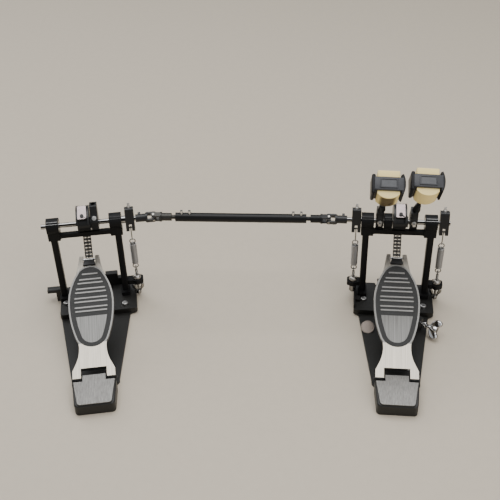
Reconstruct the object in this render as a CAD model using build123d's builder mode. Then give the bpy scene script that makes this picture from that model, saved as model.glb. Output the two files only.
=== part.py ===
"""Double bass drum pedal: a main pedal with two beaters and a slave pedal joined by a driveshaft.

Frame: millimetres, +Z up, +Y towards the drum, +X to the player's right. The origin is on
the floor, straight under the cam shaft, at the middle of the main pedal. Every pedal piece
is drawn in its own pedal's frame, which is this one for the main pedal; the slave pedal's
pieces are then set down at SLAVE_PLACE.
"""
from build123d import *
from math import asin, atan2, cos, degrees, dist, hypot, pi, radians, sin, sqrt, tan
import os

os.makedirs("parts", exist_ok=True)

# ---------------------------------------------------------------- driving dimensions (mm)
SHAFT_HEIGHT = 186.0
SHAFT_RADIUS = 4.5
RUNNING_CLEARANCE = 0.05
SEAT_CLEARANCE = 0.02
BODY_GAP = 0.3

# post frame
HOUSING_INNER = 46.7
HOUSING_OUTER = 69.3
HOUSING_RADIUS = 15.0
HOUSING_DROP = 28.0
POST_CENTRE = 60.0
POST_WIDTH = 12.0
POST_DEPTH = 16.0
CROSSBAR_DEPTH = 8.0
CROSSBAR_DROP = 24.5
CROSSBAR_HEIGHT = 9.0
GUSSET = 3.5
BEARING_RADIUS = 9.5
BEARING_WIDTH = 6.0
PILLOW_INNER = 13.4
PILLOW_OUTER = 28.1

# base
BASE_THICKNESS = 4.0
BASE_FRONT = 34.0
SHOULDER_Y = -58.0
SHOULDER_HALF = 66.0
PLATE_HEEL_HALF = 42.5
BLOCK_TOP = 14.0
JAW_BAY_HALF = 33.0
PLATE_CORNER = -231.5
HEEL_END = -307.5
HEEL_HALF = 34.8
HEEL_BLOCK_HALF = 38.5
HEEL_EDGE = 1.6
HEEL_PLATE_THICKNESS = 2.4
TAB_TOP = 1.6
SHOULDER_TOP = -11.6
HEEL_PLATE_END = -61.5
HEEL_PLATE_END_HALF = 29.3

# footboard
HINGE_Y = -244.5
HINGE_Z = 23.0
HINGE_PIN_RADIUS = 3.0
HINGE_BARREL = 5.6
BOARD_TOP_AT_HINGE = 30.0
BOARD_ANGLE = 20.0
BOARD_THICKNESS = 4.5
BOARD_LEG_HALF = 37.5
BOARD_LEG_END = -3.9
BOARD_SLOT_HALF = 22.6
BOARD_SLOT_END = 4.4
WAIST_HALF = 24.6
WAIST_S = 50.0
OVAL_START = 53.4
OVAL_END = 227.4
OVAL_WIDEST = 148.0
OVAL_HALF = 41.6
OVAL_TOE_RADIUS = 27.0
OVAL_HEEL_RADIUS = 31.0
PRONG_TIP = 251.0
PRONG_OUTER = 18.5
PRONG_INNER = 11.2
PRONG_ROOT = 228.5
ANCHOR_LENGTH = 12.7
ANCHOR_HALF = 12.1
ANCHOR_TIP_HALF = 9.1
ANCHOR_HEIGHT = 3.2
RIM_WIDTH = 3.0
RIM_HEIGHT = 1.2
PAD_HEIGHT = 1.0
PANEL_END = 119.5
PANEL_BORDER = 11.4
BAR_HALF_MAX = 30.8
BAR_WIDTH = 3.2
BAR_HEIGHT = 1.8
BAR_BORDER = 11.0
BAR_PAIRS = 4
BAR_PITCH = 8.0
BAR_GROUP_PITCH = 19.9
FIRST_PAIR = 134.0
SINGLE_BAR = 209.4

# chain and sprocket
CHAIN_PITCH = 6.35
SPROCKET_TEETH = 30
CHAIN_PLATE_HALF = 3.0
CHAIN_HALF_WIDTH = 7.2
CHAIN_PLATE = 1.0
INNER_PLATES = (0.8, 4.8)
CHAIN_ROLLER = 1.65
RUN_LINKS = 11
RUN_CLEARANCE = 3.15
WRAP_LINKS = 13
CHAIN_PIN_Y = -12.5
CHAIN_PIN_RADIUS = 2.0
CHAIN_PIN_SINK = 4.4
CHEEK_INNER = 8.6
CHEEK_WIDTH = 3.2
CHEEK_RADIUS = 33.6
DRUM_RADIUS = 26.4
TOOTH_PLACE = 3.3
TOOTH_WIDTH = 2.2
CAM_HUB_RADIUS = 15.0

# beaters
RIGHT_LEAN = 32.5
LEFT_LEAN = 35.2
RIGHT_TILT = 3.5
LEFT_TILT = 2.1
ROD_RADIUS = 4.0
ROD_OFFSET = 9.6
HUB_WIDTH = 13.4
HUB_LENGTH = 36.0
HEAD_TOP = 166.0
HEAD_HEIGHT = 46.0
HEAD_WIDTH = 57.0
HEAD_CORE_DEPTH = 24.0
FELT_DEPTH = 13.5
FELT_WIDTH = 38.0
FELT_HEIGHT = 40.0

# spring sets
ROCKER_WIDTH = 16.5
ROCKER_LENGTH = 46.0
ROCKER_DEPTH = 16.0
ROCKER_LEAN = 15.0
HOOK_REACH = 17.0
HOOK_PIN_RADIUS = 1.5
HOOK_EYE = 3.3
HOOK_PLAY = 1.35
HOOK_PLAY_LEAN = 36.0
SPRING_WIRE = 1.4
SPRING_PITCH = 1.86
SPRING_TURNS = 26
SPRING_MEAN_RADIUS = 5.2
SPRING_TOP = 130.4
BRACKET_TOP = 44.0
BRACKET_THICKNESS = 9.0
BRACKET_REACH = 11.5

# where things sit along the shafts
RIGHT_HUB_X = 25.1
LEFT_HUB_X = -36.6
SLAVE_HUB_X = 20.5
RIGHT_ROCKER_X = 81.7
LEFT_ROCKER_X = -78.8
SLAVE_ROCKER_X = 85.0

# driveshaft and slave pedal
CROSS_X = 130.0
SLAVE_X = -584.7
SLAVE_Y = -42.6
SLAVE_YAW = 13.0
FORK_PHASE = 21.0
FORK_HUB_START = 11.5
FORK_HUB_RADIUS = 7.5
TUBE_RADIUS = 8.5
DRIVE_ROD_RADIUS = 4.0
TUBE_SETBACK = 41.5
ROD_INSERT = 70.0
SLAVE_HUB_LEAN = 2.0

# ---------------------------------------------------------------- derived values
HOUSING_FOOT = SHAFT_HEIGHT - HOUSING_DROP
CROSSBAR_BOTTOM = SHAFT_HEIGHT - CROSSBAR_DROP
SLAVE_PLACE = Location((SLAVE_X, SLAVE_Y, 0), (0, 0, SLAVE_YAW))
MAIN_PLACE = Location((0, 0, 0))
SPROCKET_RADIUS = CHAIN_PITCH / (2 * sin(pi / SPROCKET_TEETH))
LINK_ANGLE = 360 / SPROCKET_TEETH
BOARD_PLANE = Plane(
    origin=(0, HINGE_Y, BOARD_TOP_AT_HINGE),
    x_dir=(1, 0, 0),
    z_dir=(0, -sin(radians(BOARD_ANGLE)), cos(radians(BOARD_ANGLE))),
)
CHAIN_PIN_S = (CHAIN_PIN_Y - HINGE_Y - CHAIN_PIN_SINK * sin(radians(BOARD_ANGLE))) / cos(radians(BOARD_ANGLE))
CHAIN_PIN_Z = (
    BOARD_TOP_AT_HINGE
    + CHAIN_PIN_S * sin(radians(BOARD_ANGLE))
    - CHAIN_PIN_SINK * cos(radians(BOARD_ANGLE))
)
CHAIN_PIN = (CHAIN_PIN_Y, CHAIN_PIN_Z)
PIN_REACH = hypot(CHAIN_PIN_Y, SHAFT_HEIGHT - CHAIN_PIN_Z)
CHAIN_LEAN = degrees(atan2(-CHAIN_PIN_Y, SHAFT_HEIGHT - CHAIN_PIN_Z) + asin(SPROCKET_RADIUS / PIN_REACH))
RUN_LENGTH = sqrt(PIN_REACH**2 - SPROCKET_RADIUS**2)
TANGENT = (
    SPROCKET_RADIUS * cos(radians(CHAIN_LEAN)),
    SHAFT_HEIGHT - SPROCKET_RADIUS * sin(radians(CHAIN_LEAN)),
)
HEEL_SLOPE = degrees(atan2(7.4, 59.5))
HEEL_PLANE = Plane(
    origin=(0, HINGE_Y, HINGE_Z + HINGE_BARREL + 0.6),
    x_dir=(1, 0, 0),
    z_dir=(0, -sin(radians(HEEL_SLOPE)), cos(radians(HEEL_SLOPE))),
)


def heel_seat(y):
    """Height of the heel block's top under the heel plate."""
    return HEEL_PLANE.origin.Z - 0.1 - (HINGE_Y - y) * tan(radians(HEEL_SLOPE))


HUB_BORE = SHAFT_RADIUS + SEAT_CLEARANCE
ROD_BORE = ROD_RADIUS + RUNNING_CLEARANCE


def side_plane(x):
    """A plane across the shaft at x: its own x is +Y and its own y is +Z."""
    return Plane(origin=(x, 0, 0), x_dir=(0, 1, 0), z_dir=(1, 0, 0))


def shaft_plane(x):
    """A plane across the shaft at x, centred on the shaft axis."""
    return Plane(origin=(x, 0, SHAFT_HEIGHT), x_dir=(0, 1, 0), z_dir=(1, 0, 0))


def write(shape, name, place=MAIN_PLACE):
    """Set a finished piece in its pedal's place, label it and export it."""
    placed = shape.moved(place)
    placed.label = name
    export_step(placed, f"parts/{name}.step")
    return placed


# ---------------------------------------------------------------- base and frame
def heel_block():
    """Tapered block under the heel plate, with a bevelled rim around the plate."""
    start = HINGE_Y - 11.5
    with BuildPart() as block:
        with BuildSketch() as plan:
            with BuildLine():
                Polyline(
                    (-HEEL_BLOCK_HALF, start),
                    (HEEL_BLOCK_HALF, start),
                    (HEEL_HALF, HEEL_END),
                    (-HEEL_HALF, HEEL_END),
                    close=True,
                )
            make_face()
            fillet(plan.vertices().group_by(Axis.Y)[0], 8)
        extrude(amount=HINGE_Z + HINGE_BARREL + 5)
        with BuildSketch(side_plane(0)):
            with BuildLine():
                Polyline(
                    (start + 1, heel_seat(start + 1)),
                    (HEEL_END - 1, heel_seat(HEEL_END - 1)),
                    (HEEL_END - 1, 60),
                    (start + 1, 60),
                    close=True,
                )
            make_face()
        extrude(amount=HOUSING_OUTER, both=True, mode=Mode.SUBTRACT)
        chamfer(block.faces().sort_by(Axis.Z)[-1].edges(), HEEL_EDGE)
    return block.part


def base(block_left, block_right):
    """Tapered floor plate with two raised blocks under the posts and a heel block."""
    with BuildPart() as base_part:
        with BuildSketch() as outline:
            with BuildLine():
                Polyline(
                    (block_left, BASE_FRONT),
                    (block_right, BASE_FRONT),
                    (block_right, SHOULDER_Y + 8),
                    (SHOULDER_HALF, SHOULDER_Y),
                    (PLATE_HEEL_HALF, PLATE_CORNER),
                    (PLATE_HEEL_HALF, PLATE_CORNER - 7),
                    (PLATE_HEEL_HALF - 5, PLATE_CORNER - 14),
                    (HEEL_HALF, HEEL_END),
                    (-HEEL_HALF, HEEL_END),
                    (-PLATE_HEEL_HALF + 5, PLATE_CORNER - 14),
                    (-PLATE_HEEL_HALF, PLATE_CORNER - 7),
                    (-PLATE_HEEL_HALF, PLATE_CORNER),
                    (-SHOULDER_HALF, SHOULDER_Y),
                    (block_left, SHOULDER_Y + 8),
                    close=True,
                )
            make_face()
            fillet(outline.vertices().group_by(Axis.Y)[0], 7)
            fillet(outline.vertices().group_by(Axis.Y)[-1], 4)
        extrude(amount=BASE_THICKNESS)
        with BuildSketch(Plane.XY.offset(BASE_THICKNESS)):
            for inner, outer in ((-JAW_BAY_HALF, block_left), (JAW_BAY_HALF, block_right)):
                with Locations(((inner + outer) / 2, (BASE_FRONT + SHOULDER_Y) / 2 - 2)):
                    RectangleRounded(abs(outer - inner), BASE_FRONT - SHOULDER_Y - 8, 4)
        extrude(amount=BLOCK_TOP - BASE_THICKNESS)
        add(heel_block())
        with BuildSketch(side_plane(0)):
            with BuildLine():
                Polyline(
                    (HINGE_Y + 4, 0),
                    (HINGE_Y + 4, HINGE_Z),
                    (HINGE_Y - 4, heel_seat(HINGE_Y - 4)),
                    (HEEL_END + 20, heel_seat(HEEL_END + 20)),
                    (HEEL_END + 20, 0),
                    close=True,
                )
            make_face()
        extrude(amount=BOARD_SLOT_HALF - 2.2, both=True)
        with BuildSketch(side_plane(0)):
            with Locations((HINGE_Y, HINGE_Z)):
                Circle(HINGE_BARREL)
        extrude(amount=BOARD_SLOT_HALF - 2.2, both=True)
        with BuildSketch(side_plane(0)):
            with Locations((HINGE_Y, HINGE_Z)):
                Circle(HINGE_PIN_RADIUS + SEAT_CLEARANCE)
        extrude(amount=HOUSING_OUTER, both=True, mode=Mode.SUBTRACT)
    return base_part.part


def heel_plate():
    """Brushed plate that covers the heel block, with a tab between the footboard's legs."""
    tab_half = BOARD_SLOT_HALF - 2.2
    shoulder_half = HEEL_BLOCK_HALF - HEEL_EDGE - 0.3
    with BuildPart() as plate:
        with BuildSketch(HEEL_PLANE) as face:
            with BuildLine():
                Polyline(
                    (-tab_half, TAB_TOP),
                    (tab_half, TAB_TOP),
                    (tab_half, SHOULDER_TOP),
                    (shoulder_half, SHOULDER_TOP),
                    (HEEL_PLATE_END_HALF, HEEL_PLATE_END),
                    (-HEEL_PLATE_END_HALF, HEEL_PLATE_END),
                    (-shoulder_half, SHOULDER_TOP),
                    (-tab_half, SHOULDER_TOP),
                    close=True,
                )
            make_face()
            fillet(face.vertices().group_by(Axis.Y)[0], 6)
        extrude(amount=HEEL_PLATE_THICKNESS)
    return plate.part


def hinge_pin():
    """Pin that carries the footboard on the heel block."""
    with BuildPart() as pin:
        with BuildSketch(side_plane(0)):
            with Locations((HINGE_Y, HINGE_Z)):
                Circle(HINGE_PIN_RADIUS)
        extrude(amount=BOARD_LEG_HALF + 2, both=True)
    return pin.part


def frame(spring_xs):
    """One casting: two posts, two bearing housings, the crossbar and the spring brackets."""
    with BuildPart() as casting:
        for side in (-1, 1):
            with BuildSketch(Plane.XY.offset(BLOCK_TOP)):
                with Locations((side * POST_CENTRE, 0)):
                    RectangleRounded(POST_WIDTH, POST_DEPTH, 2.5)
            extrude(amount=HOUSING_FOOT + 4 - BLOCK_TOP)
            with BuildSketch(Plane.XY.offset(BLOCK_TOP)):
                with Locations((side * POST_CENTRE, -2)):
                    RectangleRounded(POST_WIDTH + 5, POST_DEPTH + 12, 3)
            extrude(amount=8)
            housing_middle = side * (HOUSING_INNER + HOUSING_OUTER) / 2
            with BuildSketch(side_plane(housing_middle)):
                with Locations((0, SHAFT_HEIGHT)):
                    Circle(HOUSING_RADIUS)
                with Locations((0, (HOUSING_FOOT + SHAFT_HEIGHT) / 2)):
                    Rectangle(POST_DEPTH + 4, SHAFT_HEIGHT - HOUSING_FOOT)
            extrude(amount=(HOUSING_OUTER - HOUSING_INNER) / 2, both=True)
        with BuildSketch(Plane.XZ):
            with BuildLine():
                top = CROSSBAR_BOTTOM + CROSSBAR_HEIGHT
                Polyline(
                    (-HOUSING_INNER - 1, top),
                    (HOUSING_INNER + 1, top),
                    (HOUSING_INNER + 8, CROSSBAR_BOTTOM - GUSSET),
                    (HOUSING_INNER + 6, CROSSBAR_BOTTOM - GUSSET),
                    (HOUSING_INNER - 3, CROSSBAR_BOTTOM),
                    (-HOUSING_INNER + 3, CROSSBAR_BOTTOM),
                    (-HOUSING_INNER - 6, CROSSBAR_BOTTOM - GUSSET),
                    (-HOUSING_INNER - 8, CROSSBAR_BOTTOM - GUSSET),
                    close=True,
                )
            make_face()
        extrude(amount=CROSSBAR_DEPTH)
        for x in spring_xs:
            side = 1 if x > 0 else -1
            inner = side * (POST_CENTRE + POST_WIDTH / 2 - 1)
            outer = x + side * BRACKET_REACH
            with BuildSketch(Plane.XY.offset(BRACKET_TOP - BRACKET_THICKNESS)):
                with Locations(((inner + outer) / 2, 0)):
                    RectangleRounded(abs(outer - inner), POST_DEPTH, 3)
                with Locations((x, 0)):
                    Circle(BRACKET_REACH)
                    Circle(3.2, mode=Mode.SUBTRACT)
            extrude(amount=BRACKET_THICKNESS)
        with BuildSketch(shaft_plane(0)):
            Circle(SHAFT_RADIUS + 2)
        extrude(amount=HOUSING_OUTER + 1, both=True, mode=Mode.SUBTRACT)
        for x in bearing_xs():
            with BuildSketch(shaft_plane(x)):
                Circle(BEARING_RADIUS + SEAT_CLEARANCE)
            extrude(amount=BEARING_WIDTH / 2, both=True, mode=Mode.SUBTRACT)
    return casting.part


def bearing_xs():
    """Middle of each of the four bearings, flush with the housing faces."""
    half = BEARING_WIDTH / 2
    places = (HOUSING_INNER + half, HOUSING_OUTER - half)
    return [-x for x in places] + list(places)


def bearings(xs):
    """Ball bearings as closed rings, one separate solid each."""
    with BuildPart() as rings:
        for x in xs:
            with BuildSketch(shaft_plane(x)):
                Circle(BEARING_RADIUS)
                Circle(SHAFT_RADIUS + RUNNING_CLEARANCE, mode=Mode.SUBTRACT)
            extrude(amount=BEARING_WIDTH / 2, both=True)
    return rings.part


def pillow_block():
    """Middle bearing block of the main pedal, bolted on the crossbar."""
    middle = -(PILLOW_INNER + PILLOW_OUTER) / 2
    half = (PILLOW_OUTER - PILLOW_INNER) / 2
    foot = CROSSBAR_BOTTOM + CROSSBAR_HEIGHT
    with BuildPart() as block:
        with BuildSketch(side_plane(middle)):
            with Locations((0, SHAFT_HEIGHT)):
                Circle(HOUSING_RADIUS)
            with Locations((-2, (foot + SHAFT_HEIGHT) / 2)):
                Rectangle(18, SHAFT_HEIGHT - foot)
        extrude(amount=half, both=True)
        with BuildSketch(shaft_plane(middle)):
            Circle(SHAFT_RADIUS + RUNNING_CLEARANCE)
        extrude(amount=half, both=True, mode=Mode.SUBTRACT)
    return block.part


def spur_bolts(left_y, right_y):
    """Two spike bolts with round heads that bite the floor in front of the posts."""
    with BuildPart() as bolts:
        with BuildSketch(Plane.XY.offset(BLOCK_TOP)):
            with Locations((-POST_CENTRE + 3, left_y), (POST_CENTRE - 3, right_y)):
                Circle(5.6)
        extrude(amount=4.5)
        fillet(bolts.edges().group_by(Axis.Z)[-1], 1.6)
    return bolts.part


# ---------------------------------------------------------------- footboard
def oval_arcs(end, tip_radius):
    """Side arc's radius and the point where it meets the tip arc, for one end of the oval."""
    side = 1 if end > OVAL_WIDEST else -1
    tip_centre = (0, end - side * tip_radius)
    rise = tip_centre[1] - OVAL_WIDEST
    radius = (OVAL_HALF**2 + rise**2 - tip_radius**2) / (2 * (OVAL_HALF - tip_radius))
    side_centre = (OVAL_HALF - radius, OVAL_WIDEST)
    way = ((tip_centre[0] - side_centre[0]) / (radius - tip_radius), rise / (radius - tip_radius))
    return radius, side_centre, tip_centre, way


def oval(inset, mode=Mode.ADD):
    """Oval of the tread in the board's own plane, drawn with tangent arcs, less an inset."""
    with BuildSketch(Plane.XY, mode=Mode.PRIVATE) as shape:
        with BuildLine():
            for end, tip_radius in ((OVAL_END, OVAL_TOE_RADIUS), (OVAL_START, OVAL_HEEL_RADIUS)):
                radius, side_centre, tip_centre, way = oval_arcs(end, tip_radius)
                meet = tuple(tip_centre[i] + way[i] * (tip_radius - inset) for i in range(2))
                half_way = unit((1 + way[0], way[1], 0))
                middle = tuple(side_centre[i] + half_way[i] * (radius - inset) for i in range(2))
                tip = (0, tip_centre[1] + (tip_radius - inset) * (1 if end > OVAL_WIDEST else -1))
                for side in (-1, 1):
                    ThreePointArc(
                        (side * (OVAL_HALF - inset), OVAL_WIDEST),
                        (side * middle[0], middle[1]),
                        (side * meet[0], meet[1]),
                    )
                ThreePointArc((-meet[0], meet[1]), tip, meet)
        make_face()
    add(shape.sketch_local, mode=mode)


def panel(inset, mode=Mode.ADD):
    """Smooth panel at the heel end of the oval."""
    with BuildSketch(Plane.XY, mode=Mode.PRIVATE) as shape:
        oval(PANEL_BORDER + inset)
        with Locations((0, PANEL_END - inset + 100)):
            Rectangle(4 * OVAL_HALF, 200, mode=Mode.SUBTRACT)
    add(shape.sketch_local, mode=mode)


def bar_places():
    """Distance of each raised bar from the hinge line."""
    places = [SINGLE_BAR]
    for pair in range(BAR_PAIRS):
        low = FIRST_PAIR + pair * BAR_GROUP_PITCH
        places += [low - BAR_PITCH / 2, low + BAR_PITCH / 2]
    return places


def bar_half(s):
    """Half length of a bar: the oval's half width there less the border."""
    radius, side_centre = oval_arcs(OVAL_END, OVAL_TOE_RADIUS)[:2]
    reach = side_centre[0] + sqrt(radius**2 - (s - OVAL_WIDEST) ** 2) - BAR_BORDER
    return min(BAR_HALF_MAX, reach)


def neck_outline():
    """Outline of the footboard from its hinge legs to under the oval, for one half."""
    Polyline(
        (0, 100.0),
        (27.0, 100.0),
        (27.0, 92.0),
        (31.5, 86.0),
    )
    ThreePointArc((31.5, 86.0), (WAIST_HALF, WAIST_S + 3), (30.5, 26.0))
    Polyline(
        (30.5, 26.0),
        (BOARD_LEG_HALF, 11.0),
        (BOARD_LEG_HALF, BOARD_LEG_END),
        (BOARD_SLOT_HALF, BOARD_LEG_END),
        (BOARD_SLOT_HALF, BOARD_SLOT_END),
        (0, BOARD_SLOT_END),
        (0, 100.0),
    )


def footboard():
    """Aluminium footboard with a raised oval rim, raised bars and a smooth heel panel."""
    with BuildPart() as board:
        with BuildSketch(BOARD_PLANE):
            with BuildLine():
                neck_outline()
            make_face()
            with BuildLine():
                Polyline(
                    (0, 90.0),
                    (27.0, 90.0),
                    (27.0, 205.0),
                    (PRONG_OUTER + 3.5, 229.0),
                    (PRONG_OUTER, PRONG_TIP),
                    (PRONG_INNER, PRONG_TIP),
                    (PRONG_INNER, PRONG_ROOT),
                    (0, PRONG_ROOT),
                    close=True,
                )
            make_face()
            mirror(about=Plane.YZ)
            oval(-0.4)
        extrude(amount=-BOARD_THICKNESS)
        with BuildSketch(BOARD_PLANE):
            with BuildLine():
                neck_outline()
            make_face()
            mirror(about=Plane.YZ)
            oval(0)
            oval(RIM_WIDTH, Mode.SUBTRACT)
        extrude(amount=RIM_HEIGHT)
        with BuildSketch(BOARD_PLANE):
            panel(0)
        extrude(amount=PAD_HEIGHT)
        with BuildSketch(BOARD_PLANE):
            for s in bar_places():
                with Locations((0, s)):
                    RectangleRounded(2 * bar_half(s), BAR_WIDTH, 1.5)
        extrude(amount=BAR_HEIGHT)
        with BuildSketch(BOARD_PLANE.offset(-BOARD_THICKNESS)):
            for side in (-1, 1):
                with Locations((side * 24.0, (WAIST_S + PRONG_ROOT) / 2 + 22)):
                    Rectangle(3.0, 110)
        extrude(amount=-5)
        with BuildSketch(side_plane(0)):
            with Locations((HINGE_Y, HINGE_Z)):
                Circle(HINGE_BARREL)
            with Locations((HINGE_Y + 5.5, HINGE_Z + 3.6)):
                Rectangle(11, 3.2, rotation=BOARD_ANGLE)
        extrude(amount=BOARD_LEG_HALF, both=True)
        with BuildSketch(side_plane(0)):
            with Locations((HINGE_Y, HINGE_Z)):
                Rectangle(2 * HINGE_BARREL + 16, 40)
        extrude(amount=BOARD_SLOT_HALF, both=True, mode=Mode.SUBTRACT)
        with BuildSketch(side_plane(0)):
            with Locations((HINGE_Y, HINGE_Z)):
                Circle(HINGE_PIN_RADIUS + RUNNING_CLEARANCE)
            with Locations(CHAIN_PIN):
                Circle(CHAIN_PIN_RADIUS + SEAT_CLEARANCE)
        extrude(amount=HOUSING_OUTER, both=True, mode=Mode.SUBTRACT)
    return board.part


def tread_pad():
    """Rubber pad that fills the rim around the bars and the panel."""
    with BuildPart() as pad:
        with BuildSketch(BOARD_PLANE):
            oval(RIM_WIDTH + 0.1)
            panel(-0.1, Mode.SUBTRACT)
            for s in bar_places():
                with Locations((0, s)):
                    RectangleRounded(2 * bar_half(s) + 0.2, BAR_WIDTH + 0.2, 1.6, mode=Mode.SUBTRACT)
        extrude(amount=PAD_HEIGHT)
    return pad.part


def chain_anchor():
    """Tapered stop block on the prongs' root, and the pin that holds the chain's end."""
    low, high = PRONG_ROOT + 0.3, PRONG_ROOT + ANCHOR_LENGTH
    with BuildPart() as anchor:
        for amount, half, tip_half in (
            (ANCHOR_HEIGHT, ANCHOR_HALF, ANCHOR_TIP_HALF),
            (-BOARD_THICKNESS, PRONG_INNER - 0.3, ANCHOR_TIP_HALF),
        ):
            with BuildSketch(BOARD_PLANE):
                with BuildLine():
                    Polyline((-half, low), (half, low), (tip_half, high), (-tip_half, high), close=True)
                make_face()
            extrude(amount=amount)
        with BuildSketch(side_plane(0)):
            with Locations(CHAIN_PIN):
                Circle(CHAIN_PIN_RADIUS)
        extrude(amount=PRONG_OUTER + 1.5, both=True)
    return anchor.part


# ---------------------------------------------------------------- chain and sprocket
def on_sprocket(radius, angle):
    """Point at an angle from +Y around the shaft, in side plane coordinates."""
    return (radius * cos(radians(angle)), SHAFT_HEIGHT + radius * sin(radians(angle)))


def run_points():
    """Chain pivots along the free run, from the sprocket down to the footboard pin."""
    down = tuple((CHAIN_PIN[i] - TANGENT[i]) / RUN_LINKS for i in range(2))
    return [(TANGENT[0] + down[0] * k, TANGENT[1] + down[1] * k) for k in range(RUN_LINKS + 1)]


def wrap_points():
    """Chain pivots around the sprocket, from where the run leaves it to the clamp."""
    return [on_sprocket(SPROCKET_RADIUS, -CHAIN_LEAN + k * LINK_ANGLE) for k in range(WRAP_LINKS)]


def link_shapes(points):
    """Side view of a strip of link plates: an eye on each pivot and a waist between."""
    for point in points:
        with Locations(point):
            Circle(CHAIN_PLATE_HALF)
    for low, high in zip(points, points[1:]):
        middle = ((low[0] + high[0]) / 2, (low[1] + high[1]) / 2)
        slope = degrees(atan2(high[1] - low[1], high[0] - low[0]))
        with Locations(middle):
            Rectangle(dist(low, high), 1.5 * CHAIN_PLATE_HALF, rotation=slope)


def chain_wrap():
    """The links that stay on the sprocket: outer and middle plates and the rollers."""
    points = wrap_points()
    with BuildPart() as wrap:
        for x in (-CHAIN_HALF_WIDTH, -CHAIN_PLATE / 2, CHAIN_HALF_WIDTH - CHAIN_PLATE):
            with BuildSketch(side_plane(x)):
                link_shapes(points)
            extrude(amount=CHAIN_PLATE)
        with BuildSketch(side_plane(0)):
            with Locations(*points):
                Circle(CHAIN_ROLLER)
        extrude(amount=CHAIN_HALF_WIDTH, both=True)
    return wrap.part


def chain_run():
    """The free links, pulled straight; open at the sprocket, held on the footboard's pin."""
    points = run_points()
    plates = [-x - CHAIN_PLATE for x in INNER_PLATES] + list(INNER_PLATES)
    with BuildPart() as run:
        for x in plates:
            with BuildSketch(side_plane(x)):
                link_shapes(points)
                with Locations(points[-1]):
                    Circle(CHAIN_PLATE_HALF + 0.6)
                with Locations(points[0]):
                    Circle(CHAIN_ROLLER + RUN_CLEARANCE, mode=Mode.SUBTRACT)
            extrude(amount=CHAIN_PLATE)
        with BuildSketch(side_plane(0)):
            with Locations(*points[1:-1]):
                Circle(CHAIN_ROLLER)
        extrude(amount=max(plates) + CHAIN_PLATE, both=True)
        with BuildSketch(side_plane(0)):
            with Locations(points[0]):
                Circle(CHAIN_PLATE_HALF + RUN_CLEARANCE)
        extrude(amount=INNER_PLATES[0], both=True, mode=Mode.SUBTRACT)
        with BuildSketch(side_plane(0)):
            with Locations(points[-1]):
                Circle(CHAIN_PIN_RADIUS + RUNNING_CLEARANCE)
        extrude(amount=CHAIN_HALF_WIDTH, both=True, mode=Mode.SUBTRACT)
    return run.part


def wedge(start, end):
    """A wide sector about the shaft from one angle to another, for shaft plane sketches."""
    steps = 4
    far = [start + (end - start) * k / steps for k in range(steps + 1)]
    corners = [(80 * cos(radians(a)), 80 * sin(radians(a))) for a in far]
    Polygon((0, 0), *corners, align=None, mode=Mode.INTERSECT)


CLAMP_ANGLE = 111.0
CLAMP_SCREW_ANGLE = 124.0
CAM_END = 150.0


def sprocket(collar):
    """Cam: toothed sector with two cheeks on a hub that clamps the shaft."""
    start = -CHAIN_LEAN - 3
    outer = CHEEK_INNER + CHEEK_WIDTH
    with BuildPart() as cam:
        with BuildSketch(shaft_plane(0)):
            Circle(DRUM_RADIUS)
            wedge(start, CAM_END)
        extrude(amount=CHEEK_INNER, both=True)
        for x in (-TOOTH_PLACE, TOOTH_PLACE):
            with BuildSketch(shaft_plane(x)):
                Circle(SPROCKET_RADIUS + 1.6)
                wedge(start + 3, CLAMP_ANGLE)
                for k in range(WRAP_LINKS + 1):
                    angle = -CHAIN_LEAN + k * LINK_ANGLE
                    seat = (SPROCKET_RADIUS * cos(radians(angle)), SPROCKET_RADIUS * sin(radians(angle)), 0)
                    with Locations(Location(seat, angle)):
                        Circle(CHAIN_ROLLER + 0.1, mode=Mode.SUBTRACT)
                        with Locations((5, 0)):
                            Rectangle(10, 2 * CHAIN_ROLLER + 0.2, mode=Mode.SUBTRACT)
            extrude(amount=TOOTH_WIDTH / 2, both=True)
        with BuildSketch(shaft_plane(0)):
            Circle(SPROCKET_RADIUS + CHAIN_PLATE_HALF + 0.1)
            wedge(120.5, 133)
        extrude(amount=CHAIN_HALF_WIDTH - 0.6, both=True)
        for side in (-1, 1):
            with BuildSketch(shaft_plane(side * (CHEEK_INNER + CHEEK_WIDTH / 2))):
                Circle(CHEEK_RADIUS)
                wedge(start, CAM_END)
            extrude(amount=CHEEK_WIDTH / 2, both=True)
        with BuildSketch(shaft_plane(0)):
            Circle(CAM_HUB_RADIUS)
        extrude(amount=outer, both=True)
        with BuildSketch(shaft_plane(outer)):
            Circle(CAM_HUB_RADIUS - 4.5)
        extrude(amount=collar)
        with BuildSketch(shaft_plane(0)):
            Circle(HUB_BORE)
        extrude(amount=40, both=True, mode=Mode.SUBTRACT)
        with BuildSketch(clamp_plane(CLAMP_SCREW_ANGLE, 20)):
            Circle(1.6)
        extrude(amount=30, mode=Mode.SUBTRACT)
    return cam.part


def clamp_plane(angle, radius):
    """Plane square to the radius at an angle around the shaft."""
    y, z = on_sprocket(radius, angle)
    return Plane(origin=(0, y, z), x_dir=(1, 0, 0), z_dir=(0, cos(radians(angle)), sin(radians(angle))))


def chain_clamp():
    """Bright plate over the chain's end, and the screw that holds it to the sprocket."""
    seat = SPROCKET_RADIUS + CHAIN_PLATE_HALF + 0.3
    turn = CLAMP_SCREW_ANGLE - CLAMP_ANGLE
    along = seat * sin(radians(turn))
    with BuildPart() as clamp:
        with BuildSketch(clamp_plane(CLAMP_ANGLE, seat)) as face:
            Rectangle(16, 29)
            fillet(face.vertices(), 1.5)
            with Locations((0, -along)):
                Circle(1.7, mode=Mode.SUBTRACT)
        extrude(amount=2.2)
        with BuildSketch(clamp_plane(CLAMP_SCREW_ANGLE, 21)):
            Circle(1.5)
        extrude(amount=seat + 3.2 - 21)
        with BuildSketch(clamp_plane(CLAMP_SCREW_ANGLE, seat + 3.2)):
            Circle(3.4)
        extrude(amount=2.4)
    return clamp.part


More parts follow.
